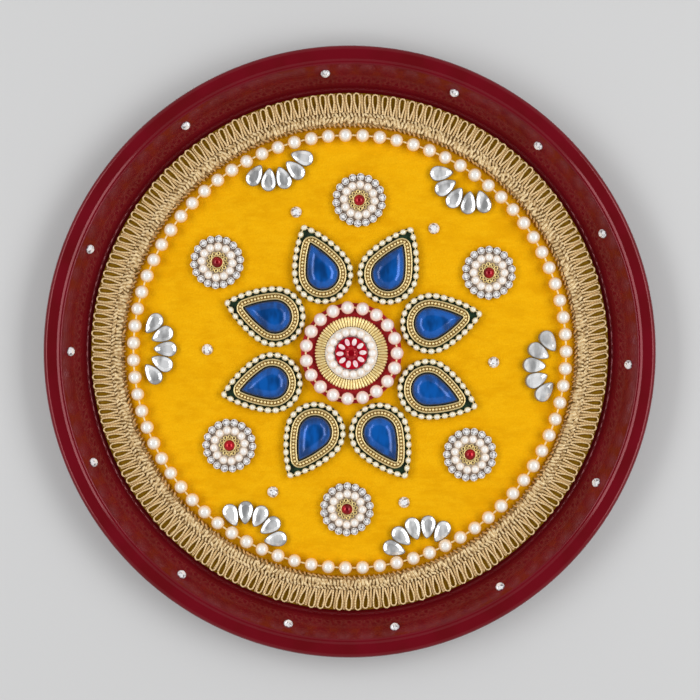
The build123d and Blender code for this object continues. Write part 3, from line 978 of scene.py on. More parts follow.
def felt(name, light, dark):
    return mottled(name, light, dark, FELT_GRAIN, 0.95, 0.0, FELT_BUMP,
                   Sheen_Weight=0.15, Sheen_Roughness=0.6)


def gold_thread(name, light, dark):
    return mottled(name, light, dark, THREAD_GRAIN, 0.42, 0.25, THREAD_BUMP)


def pearl(name, top, warm, edge):
    """Pearl lacquer, pale on top, with painted reflected light from the cloth below warming the sides."""
    finish = mottled(name, top, warm, PEARL_GRAIN, 0.14, IOR=1.8, Coat_Weight=0.5, Coat_Roughness=0.05)
    tree = finish.node_tree
    return painted_over(finish, ramp(tree, mark(tree, "low"), *PEARL_LEVELS), edge)


def metal(name, light, dark, roughness, metallic):
    return mottled(name, light, dark, METAL_GRAIN, roughness, metallic, METAL_BUMP)


def marked_metal(name, light, dark, roughness, metallic, attribute, marked):
    """Metal with another colour where a shape is marked."""
    finish = metal(name, light, dark, roughness, metallic)
    return painted_over(finish, mark(finish.node_tree, attribute), marked)


def foil_stone(name, colour, edge, roughness, metallic, share):
    """A foil-backed stone: clear colour with streaks of a darker share and a rim of its own."""
    finish = new_finish(name, colour, roughness, metallic)
    tree = finish.node_tree
    streaks = ramp(tree, noise(tree, STREAK_GRAIN, stretch=STREAK_STRETCH), *STREAK_LEVELS)
    set_colour(finish, blend(tree, streaks, colour, tuple(part * share for part in colour)))
    return painted_over(finish, mark(tree, "rim"), edge)


def foiled_crystal(name):
    """Each facet painted bright or dark as painted reflections, with small dark glints painted by noise."""
    finish = new_finish(name, SPARK, 0.06, 0.1, Coat_Weight=0.3, Coat_Roughness=0.02)
    tree = finish.node_tree
    set_colour(finish, blend(tree, mark(tree, "facet"), SPARK_DARK, SPARK))
    return painted_over(finish, ramp(tree, noise(tree, SPARK_GRAIN, 1.0), *GLINT_LEVELS), SPARK_DARK)


# How each finish is made, its colours, and then its roughness, metal share and marks
FINISH_ROWS = {
    "maroon_enamel": (maroon_enamel,),
    "yellow_velvet": (yellow_velvet,),
    "gold_lace": (gold_cord, LACE_GOLD, LACE_SHADE),
    # Painted shade: the lower fringe is a darker copy of the lace gold
    "under_lace": (gold_cord, LACE_SHADE, LACE_DIM),
    # Painted shade: the band seen between the stitches is dim gold mottled with the olive shade
    "lace_band": (mottled, LACE_DIM, OLIVE_SHADE, BAND_GRAIN, 0.60, 0.1, THREAD_BUMP),
    "stitch_gold": (gold_thread, STITCH_GOLD, STITCH_SHADE),
    "picot_gold": (gold_thread, PICOT_GOLD, STITCH_SHADE),
    "thread": (mottled, THREAD_PALE, THREAD_GOLD, THREAD_GRAIN, 0.55),
    "red_felt": (felt, RED_FELT, RED_FELT_DEEP),
    "green_felt": (felt, GREEN_FELT, GREEN_FELT_DEEP),
    "pearl": (pearl, CREAM, CREAM_WARM, PEACH_BOUNCE),
    "rose_pearl": (pearl, CREAM, CREAM_WARM, ROSE),
    "white_pearl": (pearl, WHITE, CREAM, WHITE_BOUNCE),
    "ivory_bead": (pearl, IVORY, CREAM_WARM, IVORY_BOUNCE),
    # Painted shade: the bezel's trough takes the dark groove gilt; the rails take a smaller share as a duller
    # tone
    "border_gilt": (marked_metal, BRIGHT_GILT, GILT, 0.34, 0.6, "trough", GROOVE_SHADE_GILT),
    # Painted shade: dark gilt for the fluted ring's base, seen between the ribs
    "groove_gilt": (metal, GROOVE_SHADE_GILT, BACKING_SHADE, 0.50, 0.3),
    "bright_gilt": (metal, BRIGHT_GILT, BRIGHT_GILT_DEEP, 0.32, 0.6),
    # Painted shade: the backing turns dark under the cap and among the cups
    "gilt_backing": (marked_metal, BACKING, BACKING_MID, 0.50, 0.1, "rim", BACKING_SHADE),
    "silver_cup": (metal, SILVER, SILVER_GREY, 0.32, 0.15),
    "blue_stone": (foil_stone, BLUE, BLUE_EDGE, 0.22, 0.2, STREAK_SHARE),
    "red_stone": (foil_stone, RUBY, RUBY, 0.10, 0.4, STREAK_SHARE),
    "red_enamel": (mottled, CRIMSON, RUBY, ENAMEL_GRAIN, 0.18),
    "pink_enamel": (mottled, PINK, CREAM, ENAMEL_GRAIN, 0.22),
    "clear_stone": (foil_stone, CLEAR, CLEAR_EDGE, 0.08, 0.35, CLEAR_STREAK_SHARE),
    "crystal": (foiled_crystal,),
}


# Shapes that the rows repeat

def along_x(shape):
    shape.data.transform(Matrix.Rotation(pi / 2, 4, "Y"))
    return shape


def store_mark(shape, name, values, domain="POINT"):
    store = shape.data.attributes.new(name, "FLOAT", domain)
    store.data.foreach_set("value", values)
    return shape


def mark_low(shape):
    """Stores how far each point lies below the top: none on top, one at half height and under it."""
    heights = np.array([vertex.co.z for vertex in shape.data.vertices])
    middle = (heights.max() + heights.min()) / 2
    return store_mark(shape, "low", np.clip((heights.max() - heights) / (heights.max() - middle), 0, 1))


def barrel(width, length, start, rings):
    """Radius and height pairs up the side of a ball or barrel whose ends are cut at a start angle."""
    sweep = [start + (pi - 2 * start) * i / rings for i in range(rings + 1)]
    return [(width / 2 * sin(turn), -length / 2 * cos(turn)) for turn in sweep]


def pearl_shape():
    """A pearl with the mouths of its bore on Y."""
    side = barrel(PEARL_D, PEARL_D, asin(PEARL_HOLE_SHARE), PEARL_RINGS)
    hole_r = side[0][0]
    dimple = PEARL_D / 2 * (1 - PEARL_HOLE_SHARE * 2)
    section = [(0, -dimple), (hole_r, -dimple)] + side + [(hole_r, dimple), (0, dimple)]
    shape = lathe("pearl_shape", section, PEARL_SIDES)
    shape.data.transform(Matrix.Rotation(pi / 2, 4, "X"))
    return mark_low(shape)


def ball_shape(name, diameter, rings, sides):
    radius = diameter / 2
    side = barrel(diameter, diameter, 0, rings)[1:-1]
    return mark_low(lathe(name, [(0, -radius)] + side + [(0, radius)], sides))


def bead_shape():
    """A barrel bead along X with blunt ends."""
    side = barrel(BEAD_D, BEAD_L, BEAD_BLUNT, BEAD_RINGS)
    section = [(0, side[0][1])] + side + [(0, side[-1][1])]
    return mark_low(along_x(lathe("bead_shape", section, BEAD_SIDES)))


def rod_shape(name, length, start_r, end_r, sides):
    """A rod along X with rounded ends, centred on the origin."""
    half = length / 2
    blunt = 1 - ROD_END_SHARE
    start = [(0, -half), (start_r * ROD_END_SHARE, -half + start_r * blunt), (start_r, -half + start_r)]
    end = [(end_r, half - end_r), (end_r * ROD_END_SHARE, half - end_r * blunt), (0, half)]
    return along_x(lathe(name, start + end, sides))


def crystal_shape(name, diameter, height):
    """A flat-backed stone cut with a table, stars, kites and girdle facets."""
    radius = diameter / 2
    girdle = height * GIRDLE_SHARE
    star_z = girdle + (height - girdle) * STAR_RISE_SHARE
    count = CRYSTAL_FACETS
    edge = circle_path(radius, 2 * count)
    points = at_height(edge, 0) + at_height(edge, girdle)
    points += at_height(circle_path(radius * STAR_SHARE, count, HALF), star_z)
    points += at_height(circle_path(radius * TABLE_SHARE, count), height)
    upper, star, table = 2 * count, 4 * count, 5 * count
    faces = [list(range(2 * count))[::-1], list(range(table, table + count))]
    # How bright each face is painted, as painted reflections
    painted_reflections = [0, FACET_REFLECTIONS[0]]
    for i in range(2 * count):
        j = (i + 1) % (2 * count)
        faces.append([i, j, upper + j, upper + i])
        painted_reflections.append(FACET_REFLECTIONS[i % len(FACET_REFLECTIONS)])
    for i in range(count):
        j = (i + 1) % count
        before = star + (i - 1) % count
        faces.append([table + i, table + j, star + i])
        faces.append([table + i, star + i, upper + 2 * i, before])
        faces.append([star + i, upper + 2 * i, upper + 2 * i + 1])
        faces.append([star + i, upper + 2 * i + 1, upper + 2 * j])
        painted_reflections += [FACET_REFLECTIONS[(step * i + step) % len(FACET_REFLECTIONS)] for step in FACET_STEPS]
    return store_mark(solid(name, points, faces, smooth=False), "facet", painted_reflections, "FACE")


def pear_gem(name, length, width, tip_r, levels, facets, count, side_share=SIDE_SHARE, smooth=False):
    """A pear stone through levels of inset, height and rim share; facets start after the third level."""
    outlines = []
    rims = []
    for index, (inset, height, rim) in enumerate(levels):
        path = pear_path(length, width, tip_r, -inset, count, side_share)
        outlines.append(at_height(cut_flat(path, facets) if index > 2 else path, height))
        rims += [rim] * count
    return store_mark(stack(name, outlines, smooth), "rim", rims)


def blue_gem():
    crown = STONE_H - GIRDLE_H
    return pear_gem("blue_gem", STONE_L, STONE_W, STONE_TIP_R, (
        (0, 0, 1.0),
        (0, GIRDLE_H, 1.0),
        (STONE_EDGE, GIRDLE_H + STONE_EDGE, 1.0),
        (STONE_EDGE * 2, GIRDLE_H + STONE_EDGE * 2, 0.0),
        (TABLE_IN * CROWN_IN_SHARE, GIRDLE_H + crown * CROWN_RISE_SHARE, 0.0),
        (TABLE_IN, STONE_H, 0.0),
        (TABLE_IN + STONE_EDGE * 2, STONE_H, 0.0),
    ), STONE_FACETS, STONE_POINTS, smooth=True)


def clear_drop():
    return pear_gem("clear_drop", DROP_L, DROP_W, DROP_TIP_R, (
        (0, 0, 1.0),
        (0, DROP_GIRDLE, 1.0),
        (DROP_CROWN_IN / 2, DROP_CROWN_H, 1.0),
        (DROP_CROWN_IN, DROP_CROWN_H, 0.0),
        (DROP_TABLE_IN, DROP_H, 0.0),
    ), DROP_FACETS, DROP_POINTS, DROP_SIDE_SHARE)


def cup_shape():
    outer_r = CUP_D / 2
    inner_r = outer_r - CUP_WALL
    section = [(0, 0), (outer_r, 0), (outer_r, CUP_H), (inner_r, CUP_H), (inner_r, CUP_FLOOR), (0, CUP_FLOOR)]
    shapes = [lathe("cup", section, CUP_SIDES, smooth=False)]
    reach = PRONG_W / 2
    outline = [(inner_r - CUP_WALL, -reach), (outer_r, -reach), (outer_r, reach), (inner_r - CUP_WALL, reach)]
    foot = [(max(x, inner_r), y) for x, y in outline]
    prong = stack("prong", [at_height(foot, CUP_H), at_height(outline, CUP_H + PRONG_H)], smooth=False)
    shapes += [moved(prong, "prong", Matrix.Rotation(pi / 2 * i, 4, "Z")) for i in range(CUP_PRONGS)]
    return joined("cup_shape", shapes)


# Pieces of the thali

def dress(piece, slot, node, finish=None):
    """Puts a finished piece on the thali in place of a CAD node."""
    if not piece.data.materials:
        piece.data.materials.append(FINISHES[finish or slot])
    taken_out(piece)
    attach(piece, "root")
    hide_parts(node)
    return piece


def rounded_line(points, bends):
    """Points and left-hand normals along a line with rounded corners."""
    spots = [Vector(p) for p in points]
    first = (spots[1] - spots[0]).normalized()
    last = (spots[-1] - spots[-2]).normalized()
    line = [(spots[0], Vector((-first.y, first.x)))]
    for before, corner, after, radius in zip(spots, spots[1:], spots[2:], bends):
        back = (before - corner).normalized()
        on = (after - corner).normalized()
        half = back.angle(on) / 2
        middle = corner + (back + on).normalized() * radius / sin(half)
        start = corner + back * radius / tan(half) - middle
        end = corner + on * radius / tan(half) - middle
        left_turn = 1 if back.x * on.y - back.y * on.x < 0 else -1
        for i in range(BEND_STEPS + 1):
            arm = start.slerp(end, i / BEND_STEPS).normalized()
            line.append((middle + arm * radius, -arm * left_turn))
    line.append((spots[-1], Vector((-last.y, last.x))))
    return line


def plate_piece():
    groove_r = crest_r + BEAD_RUN
    lip_in_r = groove_r + GROOVE_RUN
    edge_z = lip_z - LIP_FALL
    points = (
        (0, 0), (corner_r, 0), (crest_r, crest_z), (groove_r, lip_z - GROOVE_DEPTH), (lip_in_r, lip_z),
        (RIM_R - SHEET, edge_z), (RIM_R - SHEET, edge_z - HEM_H),
    )
    line = rounded_line(points, (CORNER_R + SHEET, CREST_R, GROOVE_R + SHEET, LIP_R, EDGE_R))
    under = [tuple(p) for p, normal in line]
    over = [tuple(p + normal * SHEET) for p, normal in line]
    end = (Vector(under[-1]) + Vector(over[-1])) / 2
    hem = [(end.x - SHEET / 2 * cos(pi * i / BEND_STEPS), end.y - SHEET / 2 * sin(pi * i / BEND_STEPS))
           for i in range(1, BEND_STEPS)]
    dress(lathe("plate", under + hem + over[::-1], PLATE_SIDES), "maroon_enamel", "thali_plate")


def velvet_piece():
    """A disc whose upper face rises and falls a little, as cloth lies."""
    rings = [velvet_r * i / VELVET_RINGS for i in range(VELVET_RINGS)]
    section = [(0, 0), (velvet_r, 0)] + round_edge(velvet_r, VELVET_T, VELVET_EDGE_R)
    section += [(r, VELVET_T) for r in rings[::-1] if r < velvet_r - VELVET_EDGE_R]
    velvet = lathe("velvet", section, PLATE_SIDES)
    for vertex in velvet.data.vertices:
        if vertex.co.z > VELVET_T / 2:
            vertex.co.z += VELVET_WAVE * mathutils_noise(vertex.co * VELVET_WAVE_SCALE)
    velvet.data.transform(up(SHEET))
    dress(velvet, "yellow_velvet", "velvet_disc")


def loop_path(length, width):
    """One pear-shaped cord loop along X from its root, as points of an open line."""
    half = width / 2
    bend_x = length - CORD_W / 2 - half
    leg = [(0, half * ROOT_SHARE), (bend_x * WAIST_PLACE_SHARE, half * WAIST_SHARE)]
    leg.append((bend_x * BELLY_PLACE_SHARE, half * BELLY_SHARE))
    turns = [-pi / 2 + pi * i / LOOP_STEPS for i in range(LOOP_STEPS + 1)]
    tip = [(bend_x + half * cos(turn), half * sin(turn)) for turn in turns]
    line = [(x, -y) for x, y in leg] + tip + leg[::-1]
    mesh = bpy.data.meshes.new("loop_path")
    mesh.from_pydata(at_height(line, 0), [(i, i + 1) for i in range(len(line) - 1)], [])
    return in_workshop("loop_path", mesh)


def fringe(name, finish, path, start, height, seed):
    dress(grow(name, FRINGE, ROW_DEFAULTS | {
        "Shape": path, "Finish": FINISHES[finish], "Radius": header_out_r, "Start": start,
        "Count": loop_count, "Place": (0, 0, height), "Seed": seed,
        "Lean wander": LOOP_WANDER, "Drift": LOOP_DRIFT, "Drift scale": LOOP_DRIFT_SCALE,
        "Size wander": LOOP_SIZE_WANDER, "Cord width": CORD_W, "Cord sides": CORD_SIDES,
        "Root swell": ROOT_SWELL_SHARE,
    }), "gold_lace", "lace_loops")


def stitch_row(name, finish, length, width, radius, pitch, rise, lean, seed):
    stitch = rod_shape(name + "_shape", length, width / 2, width / 2, STITCH_SIDES)
    row = ring_row(name, stitch, finish, count_on(radius, pitch), radius, lean=lean,
                   drift=STITCH_DRIFT, drift_scale=STITCH_DRIFT_SCALE, lean_wander=STITCH_WANDER,
                   size_wander=STITCH_SIZE_WANDER, place=(0, 0, field_z + BAND_T + rise), seed=seed)
    dress(row, "gold_lace", "lace_header")


def lace_pieces():
    path = loop_path(LOOP_L, LOOP_W)
    under_path = loop_path(LOOP_L * UNDER_SHARE, LOOP_W * UNDER_WIDTH_SHARE)
    under_z = field_z + CORD_W / 2
    fringe("lace_fringe", "gold_lace", path, 0.0, under_z + CORD_W, 4)
    fringe("lace_under_fringe", "under_lace", under_path, pi / loop_count, under_z, 9)
    band = flat_ring("lace_band", header_in_r, header_out_r, BAND_T, PLATE_SIDES)
    band.data.transform(up(field_z))
    dress(band, "gold_lace", "lace_header", "lace_band")
    stitch_r = header_in_r + STITCH_IN
    seam_r = header_out_r - SEAM_IN
    picot_r = header_in_r + PICOT_OUT
    for row in (
        ("stitches", "stitch_gold", STITCH_L, STITCH_W, stitch_r, STITCH_PITCH, STITCH_W / 2, 0.0, 3),
        ("seam_knots", "stitch_gold", SEAM_L, SEAM_W, seam_r, SEAM_PITCH, SEAM_W, SEAM_LEAN, 5),
        ("picots", "picot_gold", PICOT_L, PICOT_W, picot_r, PICOT_PITCH, PICOT_W / 2, PICOT_LEAN, 7),
    ):
        stitch_row(*row)


def pearl_string(name, radius, pitch, z, centre, shape, finish, nodes):
    centre_z = z + PEARL_D / 2
    pearls = ring_row(name, shape, finish, count_on(radius, pitch), radius,
                      size_wander=PEARL_WANDER, place=(*centre, centre_z), seed=2)
    dress(pearls, "pearl", nodes[0])
    path = circle_path(radius, count_on(radius, THREAD_TWIST / THREAD_STEPS))
    thread = flat_tube(name + "_thread", path, centre_z, THREAD_D / 2, THREAD_SIDES, THREAD_TWIST)
    thread.data.transform(spot(*centre, 0))
    dress(thread, "thread", nodes[1])


def petal_places():
    step = 360 / len(PETAL_TILTS)
    places = []
    for i, (tilt, share) in enumerate(zip(PETAL_TILTS, PETAL_PLACE_SHARES)):
        pivot = polar(petal_r * share + pivot_x, PETAL_START + step * i)
        places.append(on_flower(0) @ pivot @ spot(0, 0, 0, tilt) @ spot(-pivot_x, 0, 0))
    return places


def felt_shape(name, path):
    """A felt cut-out with a soft edge."""
    middle = path.mean(axis=0)
    inner = middle + (path - middle) * (1 - FELT_EDGE / 2 / np.abs(path - middle).max())
    outlines = [at_height(path, 0), at_height(path, FELT_T * FELT_SHOULDER_SHARE), at_height(inner, FELT_T)]
    return stack(name, outlines)


def felt_piece(cut, slot, node):
    dress(cut, slot, node)


def bezel_shape(ball):
    """A gilt border: a trough with two rails and a row of balls between them."""
    outer = stone_path(BEZEL_TIP_R, bezel_out)
    inner = stone_path(STONE_TIP_R, STONE_GAP)
    trough = stack("trough", [
        at_height(outer, 0), at_height(outer, BEZEL_FLOOR),
        at_height(inner, BEZEL_FLOOR), at_height(inner, 0),
    ], closed=True)
    # The trough is marked for painted shade; the rails get a smaller share as a duller tone
    shapes = [store_mark(trough, "trough", [1.0] * len(trough.data.vertices))]
    rail_r = RAIL_W / 2
    for path in (
        stone_path(BEZEL_TIP_R - rail_r, bezel_out - rail_r),
        stone_path(STONE_TIP_R + rail_r, STONE_GAP + rail_r),
    ):
        rail = flat_tube("rail", path, BEZEL_H - rail_r, rail_r, RAIL_SIDES)
        shapes.append(store_mark(rail, "trough", [RAIL_SHARE] * len(rail.data.vertices)))
        shapes.append(flat_tube("wall", path, BEZEL_FLOOR, rail_r, RAIL_SIDES))
    middle = stone_path(BEZEL_TIP_R - BEZEL_W / 2, bezel_out - BEZEL_W / 2)
    balls = count_along(middle, BALL_D + BALL_GAP)
    ball_z = BEZEL_FLOOR + BALL_D * BALL_SEAT_SHARE
    shapes.append(path_row("balls", ball, "border_gilt", middle, ball_z, balls))
    return joined("bezel_shape", shapes)


def petal_pieces():
    gem = blue_gem()
    bezel = bezel_shape(ball_shape("ball_shape", BALL_D, BALL_RINGS, BALL_SIDES))
    chain_path = stone_path(CHAIN_TIP_R, chain_out)
    felt_path = stone_path(CHAIN_TIP_R + FELT_EDGE, chain_out + FELT_EDGE)
    felt_cut = felt_shape("felt_cut", felt_path)
    beads = count_along(chain_path, BEAD_L + BEAD_GAP)
    bead_z = BEAD_D / 2
    chain = path_row("chain", bead_shape(), "ivory_bead", chain_path, bead_z, beads, CHAIN_WANDER)
    thread_path = stone_path(CHAIN_TIP_R, chain_out, THREAD_POINTS)
    thread = flat_tube("chain_thread", thread_path, bead_z, CHAIN_THREAD_D / 2, THREAD_SIDES, THREAD_TWIST)
    for number, place in enumerate(petal_places(), 1):
        leaf = moved(felt_cut, f"petal_felt_{number}", up(field_z) @ place)
        felt_piece(leaf, "green_felt", "petal_felts")
        for shape, name, slot, node, finish in (
            (thread, "petal_thread", "thread", "petal_threads", "thread"),
            (chain, "petal_beads", "pearl", f"petal_{number}_chain", "ivory_bead"),
            (bezel, "petal_border", "gold_metal", f"petal_{number}_bezel", "border_gilt"),
            (gem, "blue_stone", "blue_stone", f"petal_{number}_stone", "blue_stone"),
        ):
            dress(moved(shape, f"{name}_{number}", up(felt_z) @ place), slot, node, finish)


def medallion_edge(pearl_bead):
    path = circle_path(medallion_pearl_r + MEDALLION_FELT_OVER, PATH_STEPS)
    cut = felt_shape("medallion_felt_cut", path)
    cut.data.transform(on_flower(field_z))
    felt_piece(cut, "red_felt", "medallion_felt")
    pearl_string("medallion_string", medallion_pearl_r, PEARL_D + MEDALLION_PEARL_GAP, felt_z,
                 (FLOWER_X, FLOWER_Y), pearl_bead, "rose_pearl", ("medallion_pearls", "medallion_thread"))


def fluted_ring():
    middle_r = flute_in_r + FLUTE_W / 2
    ribs = round(2 * pi * middle_r / FLUTE_PITCH)
    in_r = 2 * pi * flute_in_r / ribs * FLUTE_SHARE
    out_r = 2 * pi * flute_out_r / ribs * FLUTE_SHARE
    rib = rod_shape("rib_shape", FLUTE_W, in_r, out_r, RIB_SIDES)
    base = flat_ring("flute_base", flute_in_r + in_r, flute_out_r - out_r, FLUTE_BASE_T, PATH_STEPS)
    row = ring_row("flute_row", rib, "bright_gilt", ribs, middle_r, place=(0, 0, FLUTE_BASE_T))
    for piece in (base, row):
        piece.data.transform(on_flower(felt_z))
        # The base, seen between the ribs, takes the dark groove finish as painted shade
        dress(piece, "gold_metal", "medallion_fluted_ring", "groove_gilt")


def inner_pearls():
    moulded = ball_shape("moulded_pearl", MOULD_PEARL_D, SEED_RINGS, SEED_SIDES)
    pearls = ring_row("moulded_row", moulded, "white_pearl", MOULD_PEARLS, mould_r,
                      place=(0, 0, MOULD_PEARL_D / 2))
    bed_half = MOULD_BASE_W / 2
    bed = flat_ring("pearl_bed", mould_r - bed_half, mould_r + bed_half, MOULD_BASE_T, PATH_STEPS)
    inner = joined("inner_pearls", [pearls, bed])
    inner.data.transform(on_flower(felt_z))
    dress(inner, "pearl", "medallion_inner_pearls", "white_pearl")


def enamel_pieces():
    section = [(0, 0), (enamel_r, 0)] + round_edge(enamel_r, ENAMEL_T, ENAMEL_EDGE_R) + [(0, ENAMEL_T)]
    disc = lathe("enamel_disc", section, PATH_STEPS)
    disc.data.transform(on_flower(felt_z))
    dress(disc, "red_enamel", "medallion_enamel_disc")
    top = felt_z + ENAMEL_T
    red_r = RED_STONE_D / 2
    half = (enamel_r - red_r) / 2 - ENAMEL_GAP
    drop = ball_shape("enamel_drop", 2 * half, ENAMEL_RINGS, ENAMEL_SIDES)
    drop.data.transform(Matrix.Diagonal((1, ENAMEL_PETAL_SHARE, ENAMEL_PETAL_T / half, 1)))
    petals = ring_row("enamel_petals", drop, "pink_enamel", ENAMEL_PETALS, (enamel_r + red_r) / 2,
                      start=radians(ENAMEL_TURN), place=(FLOWER_X, FLOWER_Y, top))
    dress(petals, "pink_enamel", "medallion_enamel_petals")
    ruby = crystal_shape("medallion_ruby", RED_STONE_D, RED_STONE_H)
    ruby.data.transform(on_flower(top))
    dress(ruby, "red_stone", "medallion_red_stone")


def cap_shape():
    """A pierced cap of wire eyes in two layers under a collar."""
    eye_r = CAP_EYE_D / 2
    wire_r = CAP_WIRE / 2
    eye = flat_tube("eye", circle_path(eye_r - wire_r, EYE_STEPS), 0, wire_r, EYE_SIDES)
    shapes = [
        ring_row("eyes", eye, "bright_gilt", CAP_EYES, cap_r - eye_r, start=CAP_TURN * (1 - layer),
                 place=(0, 0, wire_r + CAP_T * layer)) for layer in range(2)
    ]
    collar_r = COLLAR_D / 2
    hole_r = CABOCHON_D / 2 + SET_GAP
    roll = (collar_r - hole_r) / 2
    collar_path = circle_path(collar_r - roll, COLLAR_STEPS)
    shapes.append(flat_ring("cap_disc", 0, collar_r, 2 * CAP_T, COLLAR_STEPS))
    shapes.append(flat_tube("collar", collar_path, 2 * CAP_T + COLLAR_H / 2, roll, EYE_SIDES))
    return joined("cap_shape", shapes)


def cabochon_shape():
    edge_r = CABOCHON_D / 2
    dome_r = (edge_r**2 + CABOCHON_H**2) / (2 * CABOCHON_H)
    sweep = asin(edge_r / dome_r)
    dome = [(dome_r * sin(sweep * i / DOME_RINGS), CABOCHON_H - dome_r * (1 - cos(sweep * i / DOME_RINGS)))
            for i in range(DOME_RINGS, 0, -1)]
    return lathe("cabochon_shape", [(0, 0)] + dome + [(0, CABOCHON_H)], DOME_SIDES)


def base_shape():
    """A backing disc, pale where the pearls stand and darker inside and outside them, as painted shade under
    the cap and among the cups.
    """
    base_r = cup_ring_r + ROSETTE_BASE_OVER
    rings = (cap_r - CAP_EYE_D / 2, cap_r, rosette_seed_r, cup_ring_r)
    top = [(r, ROSETTE_BASE_T) for r in (base_r, *rings[::-1], 0)]
    shape = lathe("base_shape", [(0, 0), (base_r, 0)] + top, BASE_STEPS)
    reach = [vertex.co.xy.length for vertex in shape.data.vertices]
    return store_mark(shape, "rim", np.interp(reach, rings, (1, BACKING_SHARE, BACKING_SHARE, 1)))


def rosette_pieces():
    seed = ball_shape("seed_shape", SEED_D + SEED_OVER, SEED_RINGS, SEED_SIDES)
    set_stone = crystal_shape("set_stone", CUP_D - 2 * (CUP_WALL + SET_GAP), CUP_H)
    cups = count_on(cup_ring_r, CUP_D + CUP_GAP)
    places = [polar(border_r * share, angle) for angle, share in zip(ROSETTE_ANGLES, ROSETTE_PLACE_SHARES)]
    cup_places = []
    for number, place in enumerate(places, 1):
        top = up(rosette_z) @ place
        cup_places += [top @ polar(cup_ring_r, 360 * i / cups) for i in range(cups)]
        stones = ring_row(f"rosette_stones_{number}", set_stone, "crystal", cups, cup_ring_r,
                          lean_wander=CRYSTAL_WANDER, place=(0, 0, CUP_FLOOR), seed=number)
        seeds = ring_row(f"rosette_seed_pearls_{number}", seed, "white_pearl", ROSETTE_SEEDS,
                         rosette_seed_r, size_wander=PEARL_WANDER, place=(0, 0, SEED_D / 2), seed=number)
        for piece, slot, part in ((stones, "crystal", "crystals"), (seeds, "pearl", "pearls")):
            piece.data.transform(top)
            dress(piece, slot, f"rosette_{number}_{part}")
    on_velvet = [up(field_z) @ place for place in places]
    on_base = [up(rosette_z) @ place @ spot(0, 0, 0, turn) for place, turn in zip(places, ROSETTE_TURNS)]
    on_cap = [up(2 * CAP_T) @ place for place in on_base]
    for name, shape, finish, slot, spots, node in (
        ("rosette_backs", base_shape(), "gilt_backing", "gilt_backing", on_velvet, "rosette_bases"),
        ("crystal_cups", cup_shape(), "silver_cup", "silver_cup", cup_places, "rosette_cups"),
        ("gold_caps", cap_shape(), "bright_gilt", "gold_metal", on_base, "rosette_caps"),
        ("rosette_rubies", cabochon_shape(), "red_stone", "red_stone", on_cap, "rosette_red_stones"),
    ):
        dress(place_row(name, shape, finish, spots), slot, node)


def drop_pieces():
    back = (DROP_L - DROP_W) / 2
    step = degrees(2 * asin((DROP_W + DROP_GAP) / 2 / (FAN_R + back)))
    places = []
    for angle, share, tilt in zip(FAN_ANGLES, FAN_PLACE_SHARES, FAN_TILTS):
        centre = polar(border_r * share, angle, field_z)
        for i in range(FAN_DROPS):
            lean = 180 + step * (i - (FAN_DROPS - 1) / 2)
            place = centre @ polar(FAN_R + back, lean) @ Matrix.Rotation(pi, 4, "Z")
            tip = Matrix.Rotation(radians(tilt), 4, "Y")
            places.append(Matrix.Translation(place.translation) @ tip @ place.to_3x3().to_4x4())
    dress(place_row("clear_fans", clear_drop(), "clear_stone", places), "clear_stone", "clear_drops")


def single_crystals():
    stone = crystal_shape("field_stone", CRYSTAL_D, CRYSTAL_H)
    places = [polar(border_r * share, angle, field_z) for angle, share in zip(FAN_ANGLES, FAN_CRYSTAL_SHARES)]
    dress(place_row("velvet_crystals", stone, "crystal", places), "crystal", "field_crystals")
    small = crystal_shape("wall_stone", WALL_CRYSTAL_D, WALL_CRYSTAL_H)
    climb = crest_z * WALL_PLACE_SHARE
    lift = SHEET + WALL_GLUE
    spot_r = corner_r + climb / tan(WALL_SLOPE) - lift * sin(WALL_SLOPE)
    spot_z = climb + lift * cos(WALL_SLOPE)
    tip_over = Matrix.Rotation(-WALL_SLOPE, 4, "Y")
    places = [polar(spot_r, angle, spot_z) @ tip_over for angle in WALL_CRYSTAL_ANGLES]
    dress(place_row("rim_crystals", small, "crystal", places), "crystal", "wall_crystals")


# The stage: camera, table and light

def aim(thing, target):
    """Points a camera or light at a target, with the picture's top toward +Y."""
    back = (thing.location - Vector(target)).normalized()
    side = Vector((0, 1, 0)).cross(back).normalized()
    turn = Matrix((side, back.cross(side), back)).transposed()
    thing.rotation_euler = turn.to_euler()


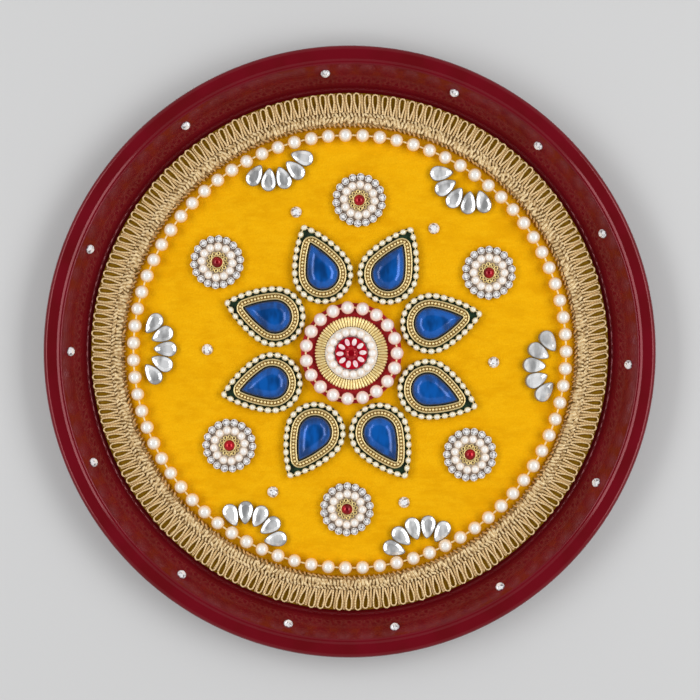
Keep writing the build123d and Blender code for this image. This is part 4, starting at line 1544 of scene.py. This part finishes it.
def softbox(name, place, size, power):
    lamp = bpy.data.lights.new(name, "AREA")
    lamp.shape = "RECTANGLE"
    lamp.size, lamp.size_y = size
    lamp.energy = power
    box = in_scene(bpy.data.objects.new(name, lamp))
    box.location = place
    aim(box, (0, 0, 0))


def studio():
    """Pale walls all round and a dark ceiling over the camera."""
    room = bpy.data.worlds.new("studio")
    room.use_nodes = True
    tree = room.node_tree
    way = add(tree, "ShaderNodeTexCoord").outputs["Generated"]
    height = add(tree, "ShaderNodeSeparateXYZ", {0: way}).outputs["Z"]
    light = blend(tree, ramp(tree, height, CEILING_START, CEILING_FULL), SKY, CEILING)
    tree.links.new(light, tree.nodes["Background"].inputs["Color"])
    return room


def stage():
    lens = bpy.data.cameras.new("camera")
    lens.lens = CAMERA_LENS
    lens.sensor_width = SENSOR_W
    camera = in_scene(bpy.data.objects.new("camera", lens))
    camera.location = (CAMERA_X, CAMERA_Y, CAMERA_H)
    aim(camera, (CAMERA_X, CAMERA_Y, 0))
    bpy.context.scene.camera = camera
    half = FLOOR_SIZE / 2
    corners = [(-half, -half, 0), (half, -half, 0), (half, half, 0), (-half, half, 0)]
    table = taken_out(make_object("table", corners, [range(len(corners))]))
    table.data.materials.append(new_finish("table", TABLE_GREY, 0.6))
    softbox("left_softbox", LEFT_BOX, LEFT_SIZE, LEFT_POWER)
    softbox("right_softbox", RIGHT_BOX, RIGHT_SIZE, RIGHT_POWER)
    bpy.context.scene.world = studio()
    bpy.context.scene.view_settings.view_transform = "Standard"


RING = ring_tree()
PATH = path_tree()
PLACES = place_tree()
FRINGE = fringe_tree()
FINISHES = {name: make(name, *look) for name, (make, *look) in FINISH_ROWS.items()}

stage()
plate_piece()
velvet_piece()
lace_pieces()
round_pearl = pearl_shape()
pearl_string("border_string", border_r, PEARL_D + PEARL_GAP, field_z, (0, 0), round_pearl, "pearl",
             ("border_pearls", "border_thread"))
petal_pieces()
medallion_edge(round_pearl)
fluted_ring()
inner_pearls()
enamel_pieces()
rosette_pieces()
drop_pieces()
single_crystals()
for shape in list(WORKSHOP.objects):
    bpy.data.objects.remove(shape)
bpy.data.collections.remove(WORKSHOP)
